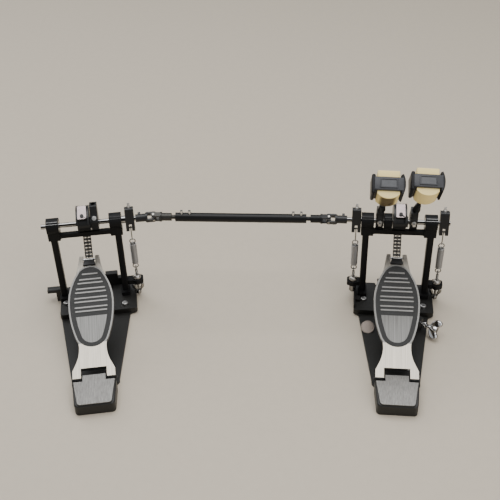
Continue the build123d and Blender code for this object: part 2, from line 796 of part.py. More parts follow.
# ---------------------------------------------------------------- shafts, hubs and beaters
def shaft(left, right, collar_left, collar_right):
    """Round bar between two places along the shaft axis, with one stop collar on it."""
    with BuildPart() as bar:
        with BuildSketch(shaft_plane(left)):
            Circle(SHAFT_RADIUS)
        extrude(amount=right - left)
        with BuildSketch(shaft_plane(collar_left)):
            Circle(SHAFT_RADIUS + 2.5)
        extrude(amount=collar_right - collar_left)
    return bar.part


def lean_plane(x, lean):
    """Side plane at x whose own y runs along a rod that leans back by an angle."""
    across = (0, cos(radians(lean)), sin(radians(lean)))
    return Plane(origin=(x, 0, SHAFT_HEIGHT), x_dir=across, z_dir=(1, 0, 0))


def rod_plane(x, lean, tilt):
    """Plane square to a beater rod, with its own y towards the drum."""
    back, up = sin(radians(lean)), cos(radians(lean))
    origin = (x, ROD_OFFSET * up, SHAFT_HEIGHT + ROD_OFFSET * back)
    return Plane(
        origin=origin,
        x_dir=(cos(radians(tilt)), back * sin(radians(tilt)), -up * sin(radians(tilt))),
        z_dir=(sin(radians(tilt)), -back * cos(radians(tilt)), up * cos(radians(tilt))),
    )


# the hub's sloping face towards the player, in the lean plane's own coordinates
KEY_FACE = ((-12.5, 9), (-4, 22))


def key_plane(x, lean):
    """Plane on the hub's sloping face, where the key bolt goes in."""
    (low_x, low_y), (high_x, high_y) = KEY_FACE
    side = lean_plane(x, lean)
    middle = side.origin + side.x_dir * (low_x + high_x) / 2 + side.y_dir * (low_y + high_y) / 2
    outward = side.x_dir * (low_y - high_y) + side.y_dir * (high_x - low_x)
    return Plane(origin=middle, x_dir=(1, 0, 0), z_dir=outward)


def beater_hub(x, lean, tilt):
    """Hub that clamps the shaft and holds a beater rod beside it, with its key bolt."""
    with BuildPart() as hub:
        with BuildSketch(lean_plane(x, lean)) as profile:
            with BuildLine():
                Polyline(
                    (-12.5, -9),
                    KEY_FACE[0],
                    KEY_FACE[1],
                    (1.5, HUB_LENGTH),
                    (16.5, HUB_LENGTH),
                    (17.5, -3),
                    (8, -13),
                    close=True,
                )
            make_face()
            fillet(profile.vertices(), 2)
        extrude(amount=HUB_WIDTH / 2, both=True)
        with BuildSketch(shaft_plane(x)):
            Circle(HUB_BORE)
        extrude(amount=HUB_WIDTH, both=True, mode=Mode.SUBTRACT)
        with BuildSketch(rod_plane(x, lean, tilt).offset(-30)):
            Circle(ROD_BORE)
        extrude(amount=90, mode=Mode.SUBTRACT)
        bolt_plane = key_plane(x, lean)
        with BuildSketch(bolt_plane.offset(-1)):
            Circle(4.2)
        extrude(amount=4)
        with BuildSketch(bolt_plane.offset(3)):
            RectangleRounded(5.4, 5.4, 0.8)
        extrude(amount=6)
    return hub.part


def beater_rod(x, lean, tilt):
    """Steel rod with the tapered memory collar that rests on the hub."""
    rod = rod_plane(x, lean, tilt)
    with BuildPart() as bar:
        with BuildSketch(rod.offset(-18)):
            Circle(ROD_RADIUS)
        extrude(amount=18 + HEAD_TOP - 12)
        with BuildSketch(rod.offset(HUB_LENGTH + 1.2)):
            Circle(7.4)
        with BuildSketch(rod.offset(HUB_LENGTH + 21)):
            Circle(5.2)
        loft()
    return bar.part


def beater_head(x, lean, tilt):
    """Moulded head with a framed top, one flat and one rounded plastic face."""
    base_plane = rod_plane(x, lean, tilt).offset(HEAD_TOP - HEAD_HEIGHT)
    with BuildPart() as head:
        with BuildSketch(base_plane):
            Rectangle(HEAD_WIDTH - 6, HEAD_CORE_DEPTH)
            with Locations((-HEAD_WIDTH / 2 + 2.5, 0)):
                RectangleRounded(5, 40, 2)
        extrude(amount=HEAD_HEIGHT)
        with BuildSketch(base_plane):
            with BuildLine():
                ThreePointArc((HEAD_WIDTH / 2 - 5, -20), (HEAD_WIDTH / 2, 0), (HEAD_WIDTH / 2 - 5, 20))
                Line((HEAD_WIDTH / 2 - 5, 20), (HEAD_WIDTH / 2 - 9, 19))
                ThreePointArc((HEAD_WIDTH / 2 - 9, 19), (HEAD_WIDTH / 2 - 4.5, 0), (HEAD_WIDTH / 2 - 9, -19))
                Line((HEAD_WIDTH / 2 - 9, -19), (HEAD_WIDTH / 2 - 5, -20))
            make_face()
        extrude(amount=HEAD_HEIGHT)
        with BuildSketch(base_plane.offset(HEAD_HEIGHT)):
            RectangleRounded(30, 17, 2)
            RectangleRounded(26, 13, 1.5, mode=Mode.SUBTRACT)
        extrude(amount=1.5)
        with BuildSketch(base_plane.offset(-1)):
            Circle(ROD_RADIUS + SEAT_CLEARANCE)
        extrude(amount=HEAD_HEIGHT - 11, mode=Mode.SUBTRACT)
    return head.part


def beater_felts(x, lean, tilt):
    """Two felt blocks: a flat one towards the drum and a rounded one towards the player."""
    base_plane = rod_plane(x, lean, tilt).offset(HEAD_TOP - HEAD_HEIGHT + 1.5)
    near = HEAD_CORE_DEPTH / 2 + 0.05
    with BuildPart() as felts:
        with BuildSketch(base_plane):
            with Locations((0, near + FELT_DEPTH / 2)):
                Rectangle(FELT_WIDTH, FELT_DEPTH)
        extrude(amount=FELT_HEIGHT)
        with BuildSketch(base_plane):
            with BuildLine():
                ThreePointArc(
                    (-FELT_WIDTH / 2, -near - FELT_DEPTH * 0.35),
                    (0, -near - FELT_DEPTH),
                    (FELT_WIDTH / 2, -near - FELT_DEPTH * 0.35),
                )
                Polyline(
                    (FELT_WIDTH / 2, -near - FELT_DEPTH * 0.35),
                    (FELT_WIDTH / 2, -near),
                    (-FELT_WIDTH / 2, -near),
                    (-FELT_WIDTH / 2, -near - FELT_DEPTH * 0.35),
                )
            make_face()
        extrude(amount=FELT_HEIGHT)
        fillet(felts.edges().filter_by(GeomType.CIRCLE), 2.5)
    return felts.part


# ---------------------------------------------------------------- spring sets
HOOK_Y = -HOOK_REACH * sin(radians(ROCKER_LEAN))
HOOK_Z = SHAFT_HEIGHT - HOOK_REACH * cos(radians(ROCKER_LEAN))
EYE_Z = BRACKET_TOP + 26.0
EYE_RING = 3.4
EYE_WIRE = 1.0
RING_RADIUS = 4.5
RING_WIRE = 0.9
EYE_SHANK = 2.5
NUT_RADIUS = 7.6
NUT_HEIGHT = 7.0
LOCK_NUT_RADIUS = 6.2
WING_NUT_Z = 5.0
RING_SEAT = EYE_WIRE + RING_WIRE + BODY_GAP + 0.4
SET_LENGTH = hypot(HOOK_Y, HOOK_Z - EYE_Z)
SET_LEAN = degrees(atan2(-HOOK_Y, HOOK_Z - EYE_Z))
SPRING_LENGTH = SPRING_PITCH * SPRING_TURNS
SPRING_START = SPRING_TOP - EYE_Z - SPRING_LENGTH
PLUG_OUT = 1.5
LOWER_RING = RING_RADIUS - RING_SEAT + EYE_RING
PLUG_RADIUS = SPRING_MEAN_RADIUS - SPRING_WIRE / 2 - 0.15


def rocker(x):
    """Spring lever clamped on the shaft, slotted for the pull hook, with its key bolt."""
    tilt_back = lean_plane(x, -ROCKER_LEAN)
    with BuildPart() as lever:
        with BuildSketch(tilt_back) as profile:
            Rectangle(ROCKER_DEPTH, ROCKER_LENGTH)
            fillet(profile.vertices(), 4)
        extrude(amount=ROCKER_WIDTH / 2, both=True)
        with BuildSketch(tilt_back):
            with Locations((0, -ROCKER_LENGTH / 2)):
                Rectangle(ROCKER_DEPTH + 2, 2 * (ROCKER_LENGTH / 2 - 8.5))
        extrude(amount=2.6, both=True, mode=Mode.SUBTRACT)
        with BuildSketch(side_plane(x)):
            with Locations((HOOK_Y, HOOK_Z)):
                Circle(HOOK_PIN_RADIUS)
        extrude(amount=ROCKER_WIDTH / 2 - 1, both=True)
        with BuildSketch(shaft_plane(x)):
            Circle(HUB_BORE)
        extrude(amount=ROCKER_WIDTH, both=True, mode=Mode.SUBTRACT)
        back, up = sin(radians(-ROCKER_LEAN)), cos(radians(-ROCKER_LEAN))
        reach = ROCKER_LENGTH / 2 - 0.1
        place = (x, -back * reach, SHAFT_HEIGHT + up * reach)
        top = Plane(origin=place, x_dir=(1, 0, 0), z_dir=(0, -back, up))
        with BuildSketch(top):
            Circle(3.6)
        extrude(amount=3)
        with BuildSketch(top.offset(3)):
            RectangleRounded(4.6, 4.6, 0.8)
        extrude(amount=5)
    return lever.part


def set_plane(x, along):
    """Plane across a spring set, at a distance from the lower eye towards the hook."""
    direction = (0, -sin(radians(SET_LEAN)), cos(radians(SET_LEAN)))
    origin = (x, direction[1] * along, EYE_Z + direction[2] * along)
    return Plane(origin=origin, x_dir=(1, 0, 0), z_dir=direction)


def ring_plane(x, along):
    """Plane that a ring of the spring set lies in, facing the player."""
    across = set_plane(x, along)
    return Plane(origin=across.origin, x_dir=across.x_dir, z_dir=across.y_dir)


def pull_link(x):
    """Hook rod from the rocker to the top of the spring, with its ring and end plug."""
    top = SPRING_START + SPRING_LENGTH
    ring_centre = top + PLUG_OUT + RING_RADIUS
    with BuildPart() as link:
        with BuildSketch(set_plane(x, top - 9)):
            Circle(PLUG_RADIUS)
        extrude(amount=9 + PLUG_OUT + RING_WIRE)
        with BuildSketch(ring_plane(x, ring_centre)):
            Circle(RING_RADIUS + RING_WIRE)
            Circle(RING_RADIUS - RING_WIRE, mode=Mode.SUBTRACT)
        extrude(amount=RING_WIRE, both=True)
        with BuildSketch(set_plane(x, ring_centre + RING_RADIUS)):
            Circle(1.05)
        extrude(amount=SET_LENGTH - ring_centre - RING_RADIUS - HOOK_EYE - 0.2)
        lean = radians(HOOK_PLAY_LEAN)
        play = (-HOOK_PLAY / 2 * sin(lean), -HOOK_PLAY / 2 * cos(lean))
        with BuildSketch(side_plane(x)):
            with Locations((HOOK_Y + play[0], HOOK_Z + play[1])):
                SlotCenterToCenter(HOOK_PLAY, 2 * HOOK_EYE, rotation=90 - HOOK_PLAY_LEAN)
                SlotCenterToCenter(
                    HOOK_PLAY,
                    2 * (HOOK_PIN_RADIUS + BODY_GAP),
                    rotation=90 - HOOK_PLAY_LEAN,
                    mode=Mode.SUBTRACT,
                )
        extrude(amount=1.2, both=True)
    return link.part


def unit(vector):
    """Vector of length one."""
    size = sqrt(sum(c * c for c in vector))
    return tuple(c / size for c in vector)


def helix_point(turns):
    """Point and direction on the spring's centre line, in its own upright frame."""
    angle = 2 * pi * turns
    point = (SPRING_MEAN_RADIUS * cos(angle), SPRING_MEAN_RADIUS * sin(angle), SPRING_PITCH * turns)
    run = 2 * pi * SPRING_MEAN_RADIUS
    direction = unit((-run * sin(angle), run * cos(angle), SPRING_PITCH))
    return point, direction


def biarc_joint(start, start_way, end, end_way):
    """Meeting point and direction of the two arcs that join two directed points."""
    chord = [e - s for s, e in zip(start, end)]
    ways = [a + b for a, b in zip(start_way, end_way)]
    across = sum(c * w for c, w in zip(chord, ways))
    spread = 2 * (1 - sum(a * b for a, b in zip(start_way, end_way)))
    reach = (-across + sqrt(across**2 + spread * sum(c * c for c in chord))) / spread
    first = [s + reach * w for s, w in zip(start, start_way)]
    second = [e - reach * w for e, w in zip(end, end_way)]
    joint = tuple((a + b) / 2 for a, b in zip(first, second))
    return joint, unit([b - a for a, b in zip(first, second)])


def spring(x):
    """Close-wound spring, one unbroken tube, with the plug and ring of its lower end."""
    quarters = 4 * SPRING_TURNS
    with BuildPart() as coil:
        with BuildLine():
            for k in range(quarters):
                start, start_way = helix_point(k / 4)
                end, end_way = helix_point((k + 1) / 4)
                joint, way = biarc_joint(start, start_way, end, end_way)
                TangentArc(start, joint, tangent=start_way)
                TangentArc(joint, end, tangent=way)
        first, first_way = helix_point(0)
        with BuildSketch(Plane(origin=first, z_dir=first_way)):
            Circle(SPRING_WIRE / 2)
        sweep()
    base_plane = set_plane(x, SPRING_START)
    coil_placed = coil.part.moved(base_plane.location)
    with BuildPart() as fitting:
        with BuildSketch(set_plane(x, LOWER_RING + RING_RADIUS)):
            Circle(PLUG_RADIUS)
        extrude(amount=SPRING_START + 9 - LOWER_RING - RING_RADIUS)
        with BuildSketch(ring_plane(x, LOWER_RING)):
            Circle(RING_RADIUS + RING_WIRE)
            Circle(RING_RADIUS - RING_WIRE, mode=Mode.SUBTRACT)
        extrude(amount=RING_WIRE, both=True)
    return Compound(children=[coil_placed, fitting.part])


def adjuster(x, winged):
    """Eye bolt through the bracket, with its domed nut above and its lock nut below."""
    foot = WING_NUT_Z if winged else 19.0
    with BuildPart() as bolt:
        with BuildSketch(side_plane(x)):
            with Locations((0, EYE_Z)):
                Circle(EYE_RING + EYE_WIRE)
                Circle(EYE_RING - EYE_WIRE, mode=Mode.SUBTRACT)
        extrude(amount=EYE_WIRE, both=True)
        with BuildSketch(Plane(origin=(x, 0, foot), z_dir=(0, 0, 1))):
            Circle(EYE_SHANK)
        extrude(amount=EYE_Z - EYE_RING - foot)
        with BuildSketch(Plane(origin=(x, 0, BRACKET_TOP + 0.05), z_dir=(0, 0, 1))):
            Circle(NUT_RADIUS)
            Circle(EYE_SHANK + 0.1, mode=Mode.SUBTRACT)
        extrude(amount=NUT_HEIGHT / 2)
        with BuildSketch(Plane(origin=(x, 0, BRACKET_TOP + 0.05 + NUT_HEIGHT / 2), z_dir=(0, 0, 1))):
            Circle(NUT_RADIUS)
        extrude(amount=NUT_HEIGHT / 2, taper=38)
        nut_top = BRACKET_TOP - BRACKET_THICKNESS - 0.05
        with BuildSketch(Plane(origin=(x, 0, nut_top - 8), z_dir=(0, 0, 1))):
            Circle(4.6 if winged else LOCK_NUT_RADIUS)
            Circle(EYE_SHANK + 0.1, mode=Mode.SUBTRACT)
        extrude(amount=8)
        if winged:
            with BuildSketch(Plane(origin=(x, 0, 0), x_dir=(1, 0, 0), z_dir=(0, -1, 0))):
                for side in (-1, 1):
                    with BuildLine():
                        Polyline(
                            (side * 3.0, WING_NUT_Z),
                            (side * 4.2, WING_NUT_Z + 9.5),
                            (side * 9.3, WING_NUT_Z + 15.0),
                            (side * 12.0, WING_NUT_Z + 21.0),
                            (side * 9.6, WING_NUT_Z + 22.5),
                            (side * 3.4, WING_NUT_Z + 11.0),
                            close=True,
                        )
                    make_face()
            extrude(amount=1.5, both=True)
            with BuildSketch(Plane(origin=(x, 0, WING_NUT_Z), z_dir=(0, 0, 1))):
                Circle(4.8)
            extrude(amount=8.5)
    return bolt.part


# ---------------------------------------------------------------- driveshaft
FORK_HUB_END = 34.0
FORK_CAP_RADIUS = 9.3
FORK_CAP = 4.0
FORK_ARM_MIDDLE = 7.5
FORK_ARM = 3.0
FORK_ARM_HALF = 4.5
CROSS_PIN_RADIUS = 2.0
CROSS_BLOCK = 9.0
SCREW_PLACES = (51.0, 66.0, 260.0, 275.0)
TUBE_ROD_END = 75.0

DRIVE_START = Vector(-CROSS_X, 0, SHAFT_HEIGHT)
DRIVE_END = Vector(
    SLAVE_X + CROSS_X * cos(radians(SLAVE_YAW)),
    SLAVE_Y + CROSS_X * sin(radians(SLAVE_YAW)),
    SHAFT_HEIGHT,
)
DRIVE_WAY = (DRIVE_END - DRIVE_START).normalized()
DRIVE_LENGTH = (DRIVE_END - DRIVE_START).length
SLAVE_WAY = Vector(cos(radians(SLAVE_YAW)), sin(radians(SLAVE_YAW)), 0)
MAIN_PIN = Vector(0, cos(radians(FORK_PHASE)), sin(radians(FORK_PHASE)))
SLAVE_PIN = MAIN_PIN.rotate(Axis.Z, SLAVE_YAW)
MAIN_TUBE_PIN = MAIN_PIN.cross(DRIVE_WAY).normalized()
SLAVE_TUBE_PIN = SLAVE_PIN.cross(DRIVE_WAY).normalized()


def yoke(centre, away, pin, pin_gap, rod_end):
    """Fork on its hub; the hub is bored for a shaft, or carries a rod if rod_end is given."""
    across = Plane(origin=centre, x_dir=pin, z_dir=away)
    side = Plane(origin=centre, x_dir=away, z_dir=pin)
    with BuildPart() as fork:
        with BuildSketch(across.offset(FORK_HUB_START)):
            Circle(FORK_CAP_RADIUS)
        extrude(amount=FORK_CAP)
        with BuildSketch(across.offset(FORK_HUB_START)):
            Circle(FORK_HUB_RADIUS)
        extrude(amount=FORK_HUB_END - FORK_HUB_START)
        for turn in (-1, 1):
            with BuildSketch(side.offset(turn * FORK_ARM_MIDDLE)):
                Circle(FORK_ARM_HALF)
                with Locations((FORK_HUB_START / 2 + 1, 0)):
                    Rectangle(FORK_HUB_START + 2, 2 * FORK_ARM_HALF)
            extrude(amount=FORK_ARM / 2, both=True)
        with BuildSketch(side):
            Circle(CROSS_PIN_RADIUS + pin_gap)
        extrude(amount=12, both=True, mode=Mode.SUBTRACT)
        if rod_end:
            with BuildSketch(across.offset(FORK_HUB_END)):
                Circle(DRIVE_ROD_RADIUS)
            extrude(amount=rod_end - FORK_HUB_END)
        else:
            with BuildSketch(across.offset(FORK_HUB_START + FORK_CAP)):
                Circle(HUB_BORE)
            extrude(amount=FORK_HUB_END, mode=Mode.SUBTRACT)
            key = Plane(origin=centre + away * (FORK_HUB_END - 7), x_dir=away, z_dir=pin)
            with BuildSketch(key.offset(SHAFT_RADIUS + 1)):
                RectangleRounded(5, 5, 0.8)
            extrude(amount=6.5)
    return fork.part


def spider(centre, pin, other):
    """Cross of a universal joint: a block with two crossing pins."""
    with BuildPart() as cross_part:
        with BuildSketch(Plane(origin=centre, x_dir=pin, z_dir=pin.cross(other))):
            RectangleRounded(CROSS_BLOCK, CROSS_BLOCK, 1)
        extrude(amount=CROSS_BLOCK / 2, both=True)
        for way in (pin, other):
            with BuildSketch(Plane(origin=centre, z_dir=way)):
                Circle(CROSS_PIN_RADIUS)
            extrude(amount=FORK_ARM_MIDDLE + FORK_ARM / 2, both=True)
    return cross_part.part


def drive_plane(t):
    """Plane across the driveshaft at a distance from the main pedal's cross."""
    return Plane(origin=DRIVE_START + DRIVE_WAY * t, x_dir=(0, 0, 1), z_dir=DRIVE_WAY)


def screw_plane(t):
    """Plane that faces up out of the driveshaft's axis."""
    return Plane(origin=DRIVE_START + DRIVE_WAY * t, x_dir=DRIVE_WAY, z_dir=(0, 0, 1))


def drive_tube():
    """Outer tube of the driveshaft, drilled for its four key screws."""
    length = DRIVE_LENGTH - 2 * TUBE_SETBACK
    with BuildPart() as tube:
        with BuildSketch(drive_plane(TUBE_SETBACK)):
            Circle(TUBE_RADIUS)
            Circle(DRIVE_ROD_RADIUS + RUNNING_CLEARANCE, mode=Mode.SUBTRACT)
        extrude(amount=length)
        for t in SCREW_PLACES:
            with BuildSketch(screw_plane(t)):
                Circle(1.9 + SEAT_CLEARANCE)
            extrude(amount=TUBE_RADIUS + 1, mode=Mode.SUBTRACT)
    return tube.part


def tube_screws():
    """Four key screws that clamp the rods in the tube, one separate solid each."""
    with BuildPart() as screws:
        for t in SCREW_PLACES:
            plane = screw_plane(t)
            with BuildSketch(plane.offset(DRIVE_ROD_RADIUS + BODY_GAP)):
                Circle(1.9)
            extrude(amount=TUBE_RADIUS + 0.1 - DRIVE_ROD_RADIUS - BODY_GAP)
            with BuildSketch(plane.offset(TUBE_RADIUS + 0.1)):
                Circle(3.2)
            extrude(amount=1.6)
            with BuildSketch(plane.offset(TUBE_RADIUS + 1.7)):
                RectangleRounded(4.6, 4.6, 0.7)
            extrude(amount=4.4)
    return screws.part


# ---------------------------------------------------------------- hoop clamp
JAW_PIVOT = (-5.0, 9.5)
JAW_PIN_RADIUS = 2.5
JAW_HALF = 30.0
LUG = (45.0, -87.0)
BOLT_Z = 20.0
BOLT_WAY = Vector(0.8212, -0.5706, 0)
BOLT_RADIUS = 3.0
WING_START = 33.0
STUB_Z = 24.0
STUB_ROOT = -69.0
STUB_END = -93.4


def main_base():
    """Base of the main pedal with the jaw's pivot bores, the bolt lug and the side cheek."""
    blocks = base(-76, 76)
    with BuildPart() as whole:
        add(blocks)
        with BuildSketch(Plane.XY.offset(BASE_THICKNESS)):
            with Locations(Location((*LUG, 0), -34.8)):
                RectangleRounded(13, 17, 3)
        extrude(amount=BOLT_Z + 6.5 - BASE_THICKNESS)
        with BuildSketch(Plane.XY.offset(BASE_THICKNESS)):
            with Locations((-76 + 1.5, -12)):
                RectangleRounded(3, 74, 1.2)
        extrude(amount=18)
        with BuildSketch(Plane.XY.offset(BASE_THICKNESS)):
            with Locations((-67.8, -25)):
                RectangleRounded(8.4, 12, 1.5)
        extrude(amount=15)
        with BuildSketch(side_plane(0)):
            with Locations(JAW_PIVOT):
                Circle(JAW_PIN_RADIUS + RUNNING_CLEARANCE)
        extrude(amount=JAW_BAY_HALF + 4.3, both=True, mode=Mode.SUBTRACT)
        with BuildSketch(Plane(origin=(*LUG, BOLT_Z), x_dir=(0, 0, 1), z_dir=BOLT_WAY)):
            Circle(BOLT_RADIUS + RUNNING_CLEARANCE)
        extrude(amount=12, both=True, mode=Mode.SUBTRACT)
    return whole.part


def slave_base():
    """Base of the slave pedal with its side stub and the stop block behind the footboard."""
    blocks = base(-68, 80)
    with BuildPart() as whole:
        add(blocks)
        with BuildSketch(Plane.XY):
            with Locations((-70, 12)):
                Rectangle(12, 14)
        extrude(amount=BLOCK_TOP)
        with BuildSketch(Plane.XY):
            with Locations((STUB_ROOT - 4, 12)):
                Rectangle(8, 14)
        extrude(amount=STUB_Z)
        with BuildSketch(side_plane(STUB_END)):
            with Locations((12, STUB_Z)):
                SlotCenterToCenter(5, 10)
        extrude(amount=STUB_ROOT - STUB_END)
        with BuildSketch(Plane.XZ.offset(-33)):
            with BuildLine():
                Polyline((22, 2), (22, 41.5), (46, 41.5), (46, 29), (57, 29), (57, 2), close=True)
            make_face()
        extrude(amount=11)
    return whole.part


def hoop_clamp_jaw():
    """Lever that grips the drum hoop against the base, with its pivot pin and long tail."""
    with BuildPart() as jaw:
        with BuildSketch(side_plane(0)):
            with Locations(JAW_PIVOT):
                Circle(4.8)
            with BuildLine():
                Polyline(
                    (-9.5, 10),
                    (-9.5, 20),
                    (1, 26.5),
                    (25, 26.5),
                    (34, 20.5),
                    (34, 14.8),
                    (32, 16),
                    (30, 14.8),
                    (28, 16),
                    (26, 14.8),
                    (24, 16),
                    (6, 15.5),
                    (-0.5, 8.5),
                    close=True,
                )
            make_face()
        extrude(amount=JAW_HALF, both=True)
        with BuildSketch(Plane.XY.offset(12)):
            with BuildLine():
                Polyline((-11, -6), (11, -6), (9, -62), (30, -70), (30, -84), (-9, -84), close=True)
            make_face()
        extrude(amount=6)
        with BuildSketch(Plane.XY.offset(12)):
            with Locations((23, -77)):
                Rectangle(14, 14)
        extrude(amount=12)
        with BuildSketch(side_plane(0)):
            with Locations(JAW_PIVOT):
                Circle(JAW_PIN_RADIUS)
        extrude(amount=JAW_BAY_HALF + 4, both=True)
    return jaw.part


def clamp_bolt():
    """Bolt that drives the jaw's tail, with a two-winged head."""
    axis_plane = Plane(origin=(*LUG, BOLT_Z), x_dir=(0, 0, 1), z_dir=BOLT_WAY)
    with BuildPart() as bolt:
        with BuildSketch(axis_plane.offset(-15.4)):
            Circle(BOLT_RADIUS)
        extrude(amount=15.4 + WING_START)
        with BuildSketch(axis_plane.offset(14)):
            Circle(6)
        extrude(amount=3)
        with BuildSketch(axis_plane.offset(WING_START - 9)):
            Circle(BOLT_RADIUS + 0.6)
        with BuildSketch(axis_plane.offset(WING_START)):
            Circle(6.5)
        loft()
        with BuildSketch(axis_plane.offset(WING_START)):
            Circle(6.5)
        extrude(amount=7)
        with BuildSketch(Plane(origin=axis_plane.origin, x_dir=(0, 0, 1), z_dir=-axis_plane.y_dir)):
            for side in (-1, 1):
                with BuildLine():
                    Polyline(
                        (side * 4.0, WING_START - 1),
                        (side * 12.0, WING_START + 1),
                        (side * 18.5, WING_START + 6),
                        (side * 18.5, WING_START + 13),
                        (side * 13.0, WING_START + 14),
                        (side * 4.0, WING_START + 7),
                        close=True,
                    )
                make_face()
        extrude(amount=2.4, both=True)
    return bolt.part


# ---------------------------------------------------------------- the whole part
def self_gap():
    """Least distance between a spring's neighbouring turns, measured on points."""
    steps = 48
    points = [helix_point(k / steps)[0] for k in range(6 * steps)]
    start = 2 * steps
    others = [p for k, p in enumerate(points) if abs(k - start) > steps / 2]
    return min(dist(points[start], p) for p in others) - SPRING_WIRE


write(main_base(), "main_base")
write(heel_plate(), "main_heel_plate")
write(hinge_pin(), "main_hinge_pin")
write(frame((RIGHT_ROCKER_X, LEFT_ROCKER_X)), "main_frame")
write(bearings(bearing_xs()), "main_bearings")
write(pillow_block(), "pillow_block")
write(spur_bolts(-24, -38), "main_spur_bolts")
right_adjuster = adjuster(RIGHT_ROCKER_X, True)
left_adjuster = adjuster(LEFT_ROCKER_X, False)
write(Compound(children=[right_adjuster, left_adjuster]), "main_spring_adjusters")
write(hoop_clamp_jaw(), "hoop_clamp_jaw")
write(clamp_bolt(), "clamp_bolt")
write(slave_base(), "slave_base", SLAVE_PLACE)
write(heel_plate(), "slave_heel_plate", SLAVE_PLACE)
write(hinge_pin(), "slave_hinge_pin", SLAVE_PLACE)
write(frame((SLAVE_ROCKER_X,)), "slave_frame", SLAVE_PLACE)
write(bearings(bearing_xs()), "slave_bearings", SLAVE_PLACE)
write(spur_bolts(-22, -41), "slave_spur_bolts", SLAVE_PLACE)
write(adjuster(SLAVE_ROCKER_X, True), "slave_spring_adjuster", SLAVE_PLACE)

for pedal, place, collar in (("main", MAIN_PLACE, 3.7), ("slave", SLAVE_PLACE, 1.4)):
    write(footboard(), f"{pedal}_footboard", place)
    write(tread_pad(), f"{pedal}_pad", place)
    write(chain_anchor(), f"{pedal}_chain_anchor", place)
    write(sprocket(collar), f"{pedal}_sprocket", place)
    write(chain_clamp(), f"{pedal}_chain_clamp", place)
    write(chain_wrap(), f"{pedal}_chain_wrap", place)
    write(chain_run(), f"{pedal}_chain_run", place)

SHAFT_END = CROSS_X - FORK_HUB_START - FORK_CAP - 1
write(shaft(-20.2, RIGHT_ROCKER_X + ROCKER_WIDTH / 2 + 2.75, 69.6, 70.5), "main_shaft")
write(shaft(-SHAFT_END, -21.2, -70.3, -69.6), "second_shaft")
write(shaft(-80, SHAFT_END, 69.6, 76.5), "slave_shaft", SLAVE_PLACE)

for name, *stance in (
    ("right", RIGHT_HUB_X, RIGHT_LEAN, RIGHT_TILT),
    ("left", LEFT_HUB_X, LEFT_LEAN, LEFT_TILT),
):
    write(beater_hub(*stance), f"{name}_hub")
    write(beater_rod(*stance), f"{name}_rod")
    write(beater_head(*stance), f"{name}_head")
    write(beater_felts(*stance), f"{name}_felts")
write(beater_hub(SLAVE_HUB_X, SLAVE_HUB_LEAN, 0), "slave_hub", SLAVE_PLACE)

for name, x, place in (
    ("right", RIGHT_ROCKER_X, MAIN_PLACE),
    ("left", LEFT_ROCKER_X, MAIN_PLACE),
    ("slave", SLAVE_ROCKER_X, SLAVE_PLACE),
):
    write(rocker(x), f"{name}_rocker", place)
    write(pull_link(x), f"{name}_pull_link", place)
    write(spring(x), f"{name}_spring", place)

write(yoke(DRIVE_START, Vector(1, 0, 0), MAIN_PIN, RUNNING_CLEARANCE, 0), "main_yoke")
write(spider(DRIVE_START, MAIN_PIN, MAIN_TUBE_PIN), "main_cross")
write(yoke(DRIVE_START, DRIVE_WAY, MAIN_TUBE_PIN, BODY_GAP, TUBE_ROD_END), "tube_yoke")
write(drive_tube(), "drive_tube")
write(tube_screws(), "tube_screws")
rod_length = TUBE_SETBACK + ROD_INSERT
write(yoke(DRIVE_END, DRIVE_WAY * -1, SLAVE_TUBE_PIN, BODY_GAP, rod_length), "drive_rod")
write(spider(DRIVE_END, SLAVE_PIN, SLAVE_TUBE_PIN), "slave_cross")
write(yoke(DRIVE_END, SLAVE_WAY * -1, SLAVE_PIN, RUNNING_CLEARANCE, 0), "slave_yoke")

print(f"spring: {SPRING_TURNS} turns, least gap between turns {self_gap():.2f} mm")
print(f"chain run {RUN_LENGTH:.2f} mm, link pitch {RUN_LENGTH / RUN_LINKS:.3f} mm")
print(f"the chain leans {CHAIN_LEAN:.2f} degrees")
print(f"driveshaft {DRIVE_LENGTH:.2f} mm between the crosses")
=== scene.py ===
# %% [markdown]
# # A double bass drum pedal
# Two pedals stand side by side, joined by a driveshaft with a universal joint at each end. The CAD model
# already holds every part in its real place and size. This file gives those parts their looks: painted
# castings, brushed footboards, oiled chain, wound springs, moulded beater heads and pressed felt.

# %% Load the frame
import bpy
import bmesh
from math import asin, atan2, cos, hypot, pi, radians, sin
from mathutils import Matrix, Vector


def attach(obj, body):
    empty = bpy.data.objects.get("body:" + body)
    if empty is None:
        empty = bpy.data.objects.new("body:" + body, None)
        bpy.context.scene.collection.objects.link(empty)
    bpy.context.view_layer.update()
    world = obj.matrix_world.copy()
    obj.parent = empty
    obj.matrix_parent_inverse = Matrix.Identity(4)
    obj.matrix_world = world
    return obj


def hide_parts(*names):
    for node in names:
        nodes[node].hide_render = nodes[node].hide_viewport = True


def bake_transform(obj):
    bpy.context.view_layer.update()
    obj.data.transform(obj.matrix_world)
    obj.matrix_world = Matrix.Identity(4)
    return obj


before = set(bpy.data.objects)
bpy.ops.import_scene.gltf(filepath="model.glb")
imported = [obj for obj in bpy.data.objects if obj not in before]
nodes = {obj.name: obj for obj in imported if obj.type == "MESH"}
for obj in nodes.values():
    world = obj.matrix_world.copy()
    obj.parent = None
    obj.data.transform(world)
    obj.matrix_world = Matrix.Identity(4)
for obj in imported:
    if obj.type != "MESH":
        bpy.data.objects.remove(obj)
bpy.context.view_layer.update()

# %% [markdown]
# Both pedals are alike, so a piece is drawn once, in millimetres, in the frame of its own pedal: the origin
# is on the floor under the cam shaft, +Y points to the drum and +X to the player's right. A matrix then sets
# it down where its pedal stands. The slave pedal is turned 13 degrees, the way a drummer would place it.

